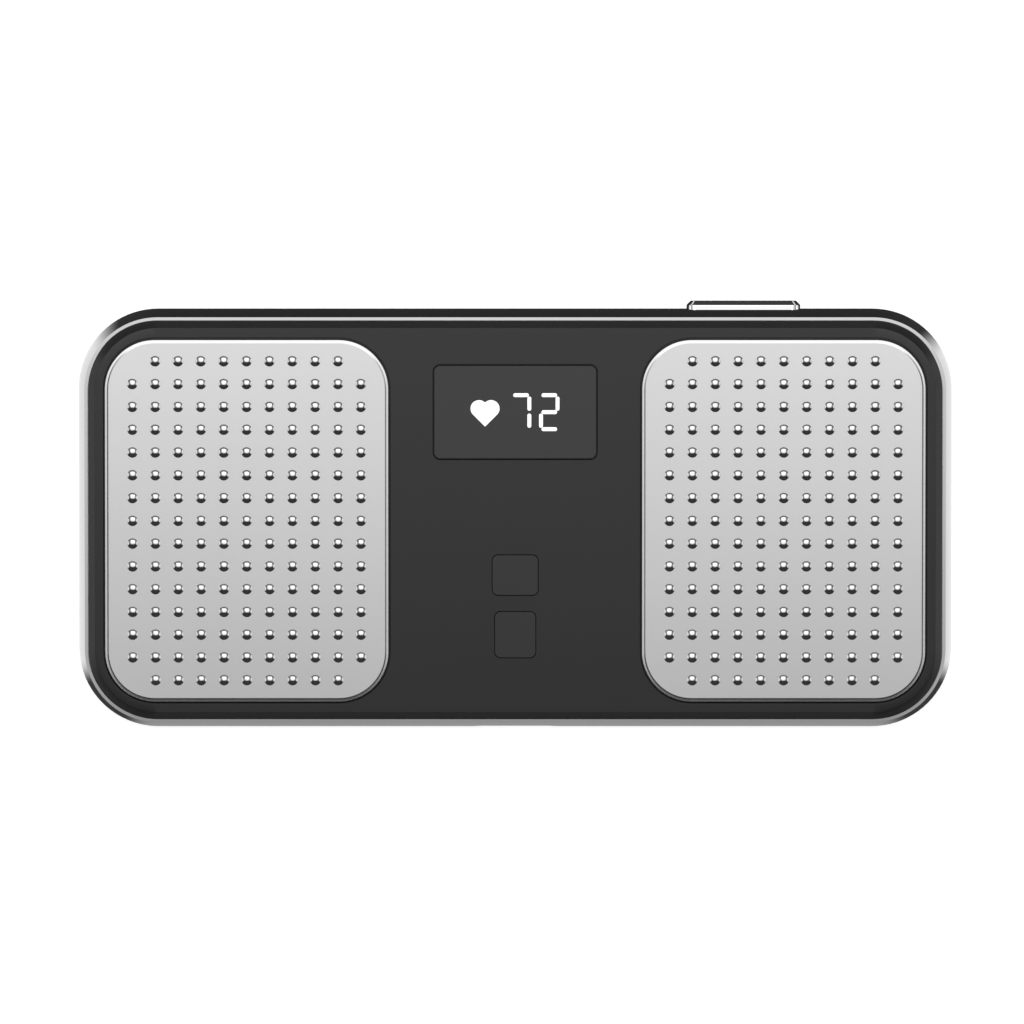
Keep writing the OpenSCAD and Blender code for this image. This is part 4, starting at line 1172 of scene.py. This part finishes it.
# %% Lamp
LAMP_SIDE, LAMP_HEIGHT, LAMP_BACK, LAMP_WATTS = 0.8, 0.8, 0.15, 5.0

lamp_data = bpy.data.lights.new("overhead", "AREA")
lamp_data.size = LAMP_SIDE
lamp_data.energy = LAMP_WATTS
lamp = bpy.data.objects.new("overhead", lamp_data)
lamp.location = (0, LAMP_BACK, LAMP_HEIGHT)
lamp.visible_camera = False
lamp.visible_glossy = False
lamp.rotation_euler = (-math.atan2(LAMP_BACK, LAMP_HEIGHT), 0, 0)
scene.collection.objects.link(lamp)
print(f"lamp of {LAMP_WATTS} W, {LAMP_HEIGHT} m up")

# %% [markdown]
# ## The sky
#
# A mirrored ray that misses card and soft box ends in the sky, which is a tent: bright walls at the
# far left and right that fade out towards the front, a dim glow high at the back, and near darkness
# everywhere else. The dark parts are what draw the thin dark outlines of the domes, the bevel and
# the button. Each ramp runs over one part of the direction. A picture of a studio could stand
# behind everything, but ramps can be graded to this device.

# %% Tent of sky
SKY_DARK = 0.05
SKY_SIDES = ((0, 0.04), (0.84, 0.05), (0.92, 1.2), (0.97, 1.1), (1, 0.8))
SKY_FRONT = ((-0.5, 0), (-0.15, 1))
SKY_BACK = ((0.15, 0), (0.4, 0.24))
SKY_RAISED = ((0.12, 0), (0.25, 1))

world = bpy.data.worlds.new("studio")
scene.world = world
tree = new_tree(world)
direction = tree.nodes.new("ShaderNodeTexCoord")
split = tree.nodes.new("ShaderNodeSeparateXYZ")
tree.links.new(direction.outputs["Generated"], split.inputs[0])
sides = ramp_node(tree, math_node(tree, "ABSOLUTE", split.outputs["X"]), 0, 1, SKY_SIDES)
front = ramp_node(tree, split.outputs["Y"], -1, 1, SKY_FRONT)
back = ramp_node(tree, split.outputs["Y"], -1, 1, SKY_BACK)
raised = ramp_node(tree, split.outputs["Z"], 0, 1, SKY_RAISED)
walls = math_node(tree, "MULTIPLY", sides, front)
high_back = math_node(tree, "MULTIPLY", back, raised)
tent = math_node(tree, "MAXIMUM", math_node(tree, "MAXIMUM", walls, high_back), SKY_DARK)
print("tent:", len(tree.nodes), "nodes")

# %% [markdown]
# ## Three skies in one
#
# Light Path tells the rays apart. The camera sees white, matt surfaces get an even grey, so that
# they are lit at a plain level, and mirrored rays alone see the tent.

# %% Sky for each kind of ray
SKY_MATT, SKY_SEEN = 0.35, 1.0

path = tree.nodes.new("ShaderNodeLightPath")
seen = tree.nodes.new("ShaderNodeMix")
seen.data_type = "RGBA"
seen.inputs["A"].default_value = (SKY_MATT, SKY_MATT, SKY_MATT, 1)
seen.inputs["B"].default_value = (SKY_SEEN, SKY_SEEN, SKY_SEEN, 1)
mirrored = tree.nodes.new("ShaderNodeMix")
mirrored.data_type = "RGBA"
glow = tree.nodes.new("ShaderNodeBackground")
leave = tree.nodes.new("ShaderNodeOutputWorld")
tree.links.new(path.outputs["Is Camera Ray"], seen.inputs["Factor"])
tree.links.new(path.outputs["Is Glossy Ray"], mirrored.inputs["Factor"])
tree.links.new(seen.outputs["Result"], mirrored.inputs["A"])
tree.links.new(tent, mirrored.inputs["B"])
tree.links.new(mirrored.outputs["Result"], glow.inputs["Color"])
tree.links.new(glow.outputs[0], leave.inputs["Surface"])
print("sky:", len(tree.nodes), "nodes")

# %% [markdown]
# ## The camera
#
# The photograph looks almost straight down on the face from a little behind the button's edge, with
# a long lens. The distance follows from how much narrower the near edge is than the far one, and
# the lens from the size of the device in the picture.

# %% Camera
CAMERA_DISTANCE, CAMERA_TILT, CAMERA_LENS = 1400.0, math.radians(4.23), 478.7
CAMERA_SENSOR, CAMERA_CLIP = 36, 0.01
AIM = Vector((-0.33, 0.885, PANEL_TOP))

camera_data = bpy.data.cameras.new("camera")
camera_data.lens = CAMERA_LENS
camera_data.sensor_width = CAMERA_SENSOR
camera_data.clip_start = CAMERA_CLIP
camera = bpy.data.objects.new("camera", camera_data)
offset = Vector((0, math.sin(CAMERA_TILT), math.cos(CAMERA_TILT))) * CAMERA_DISTANCE
camera.location = (AIM + offset) * MM
camera.rotation_euler = (-CAMERA_TILT, 0, 0)
scene.collection.objects.link(camera)
scene.camera = camera
scene.view_settings.view_transform = "Standard"
print(f"camera {CAMERA_DISTANCE / 1000} m away, {math.degrees(CAMERA_TILT):.1f} degrees off straight down")
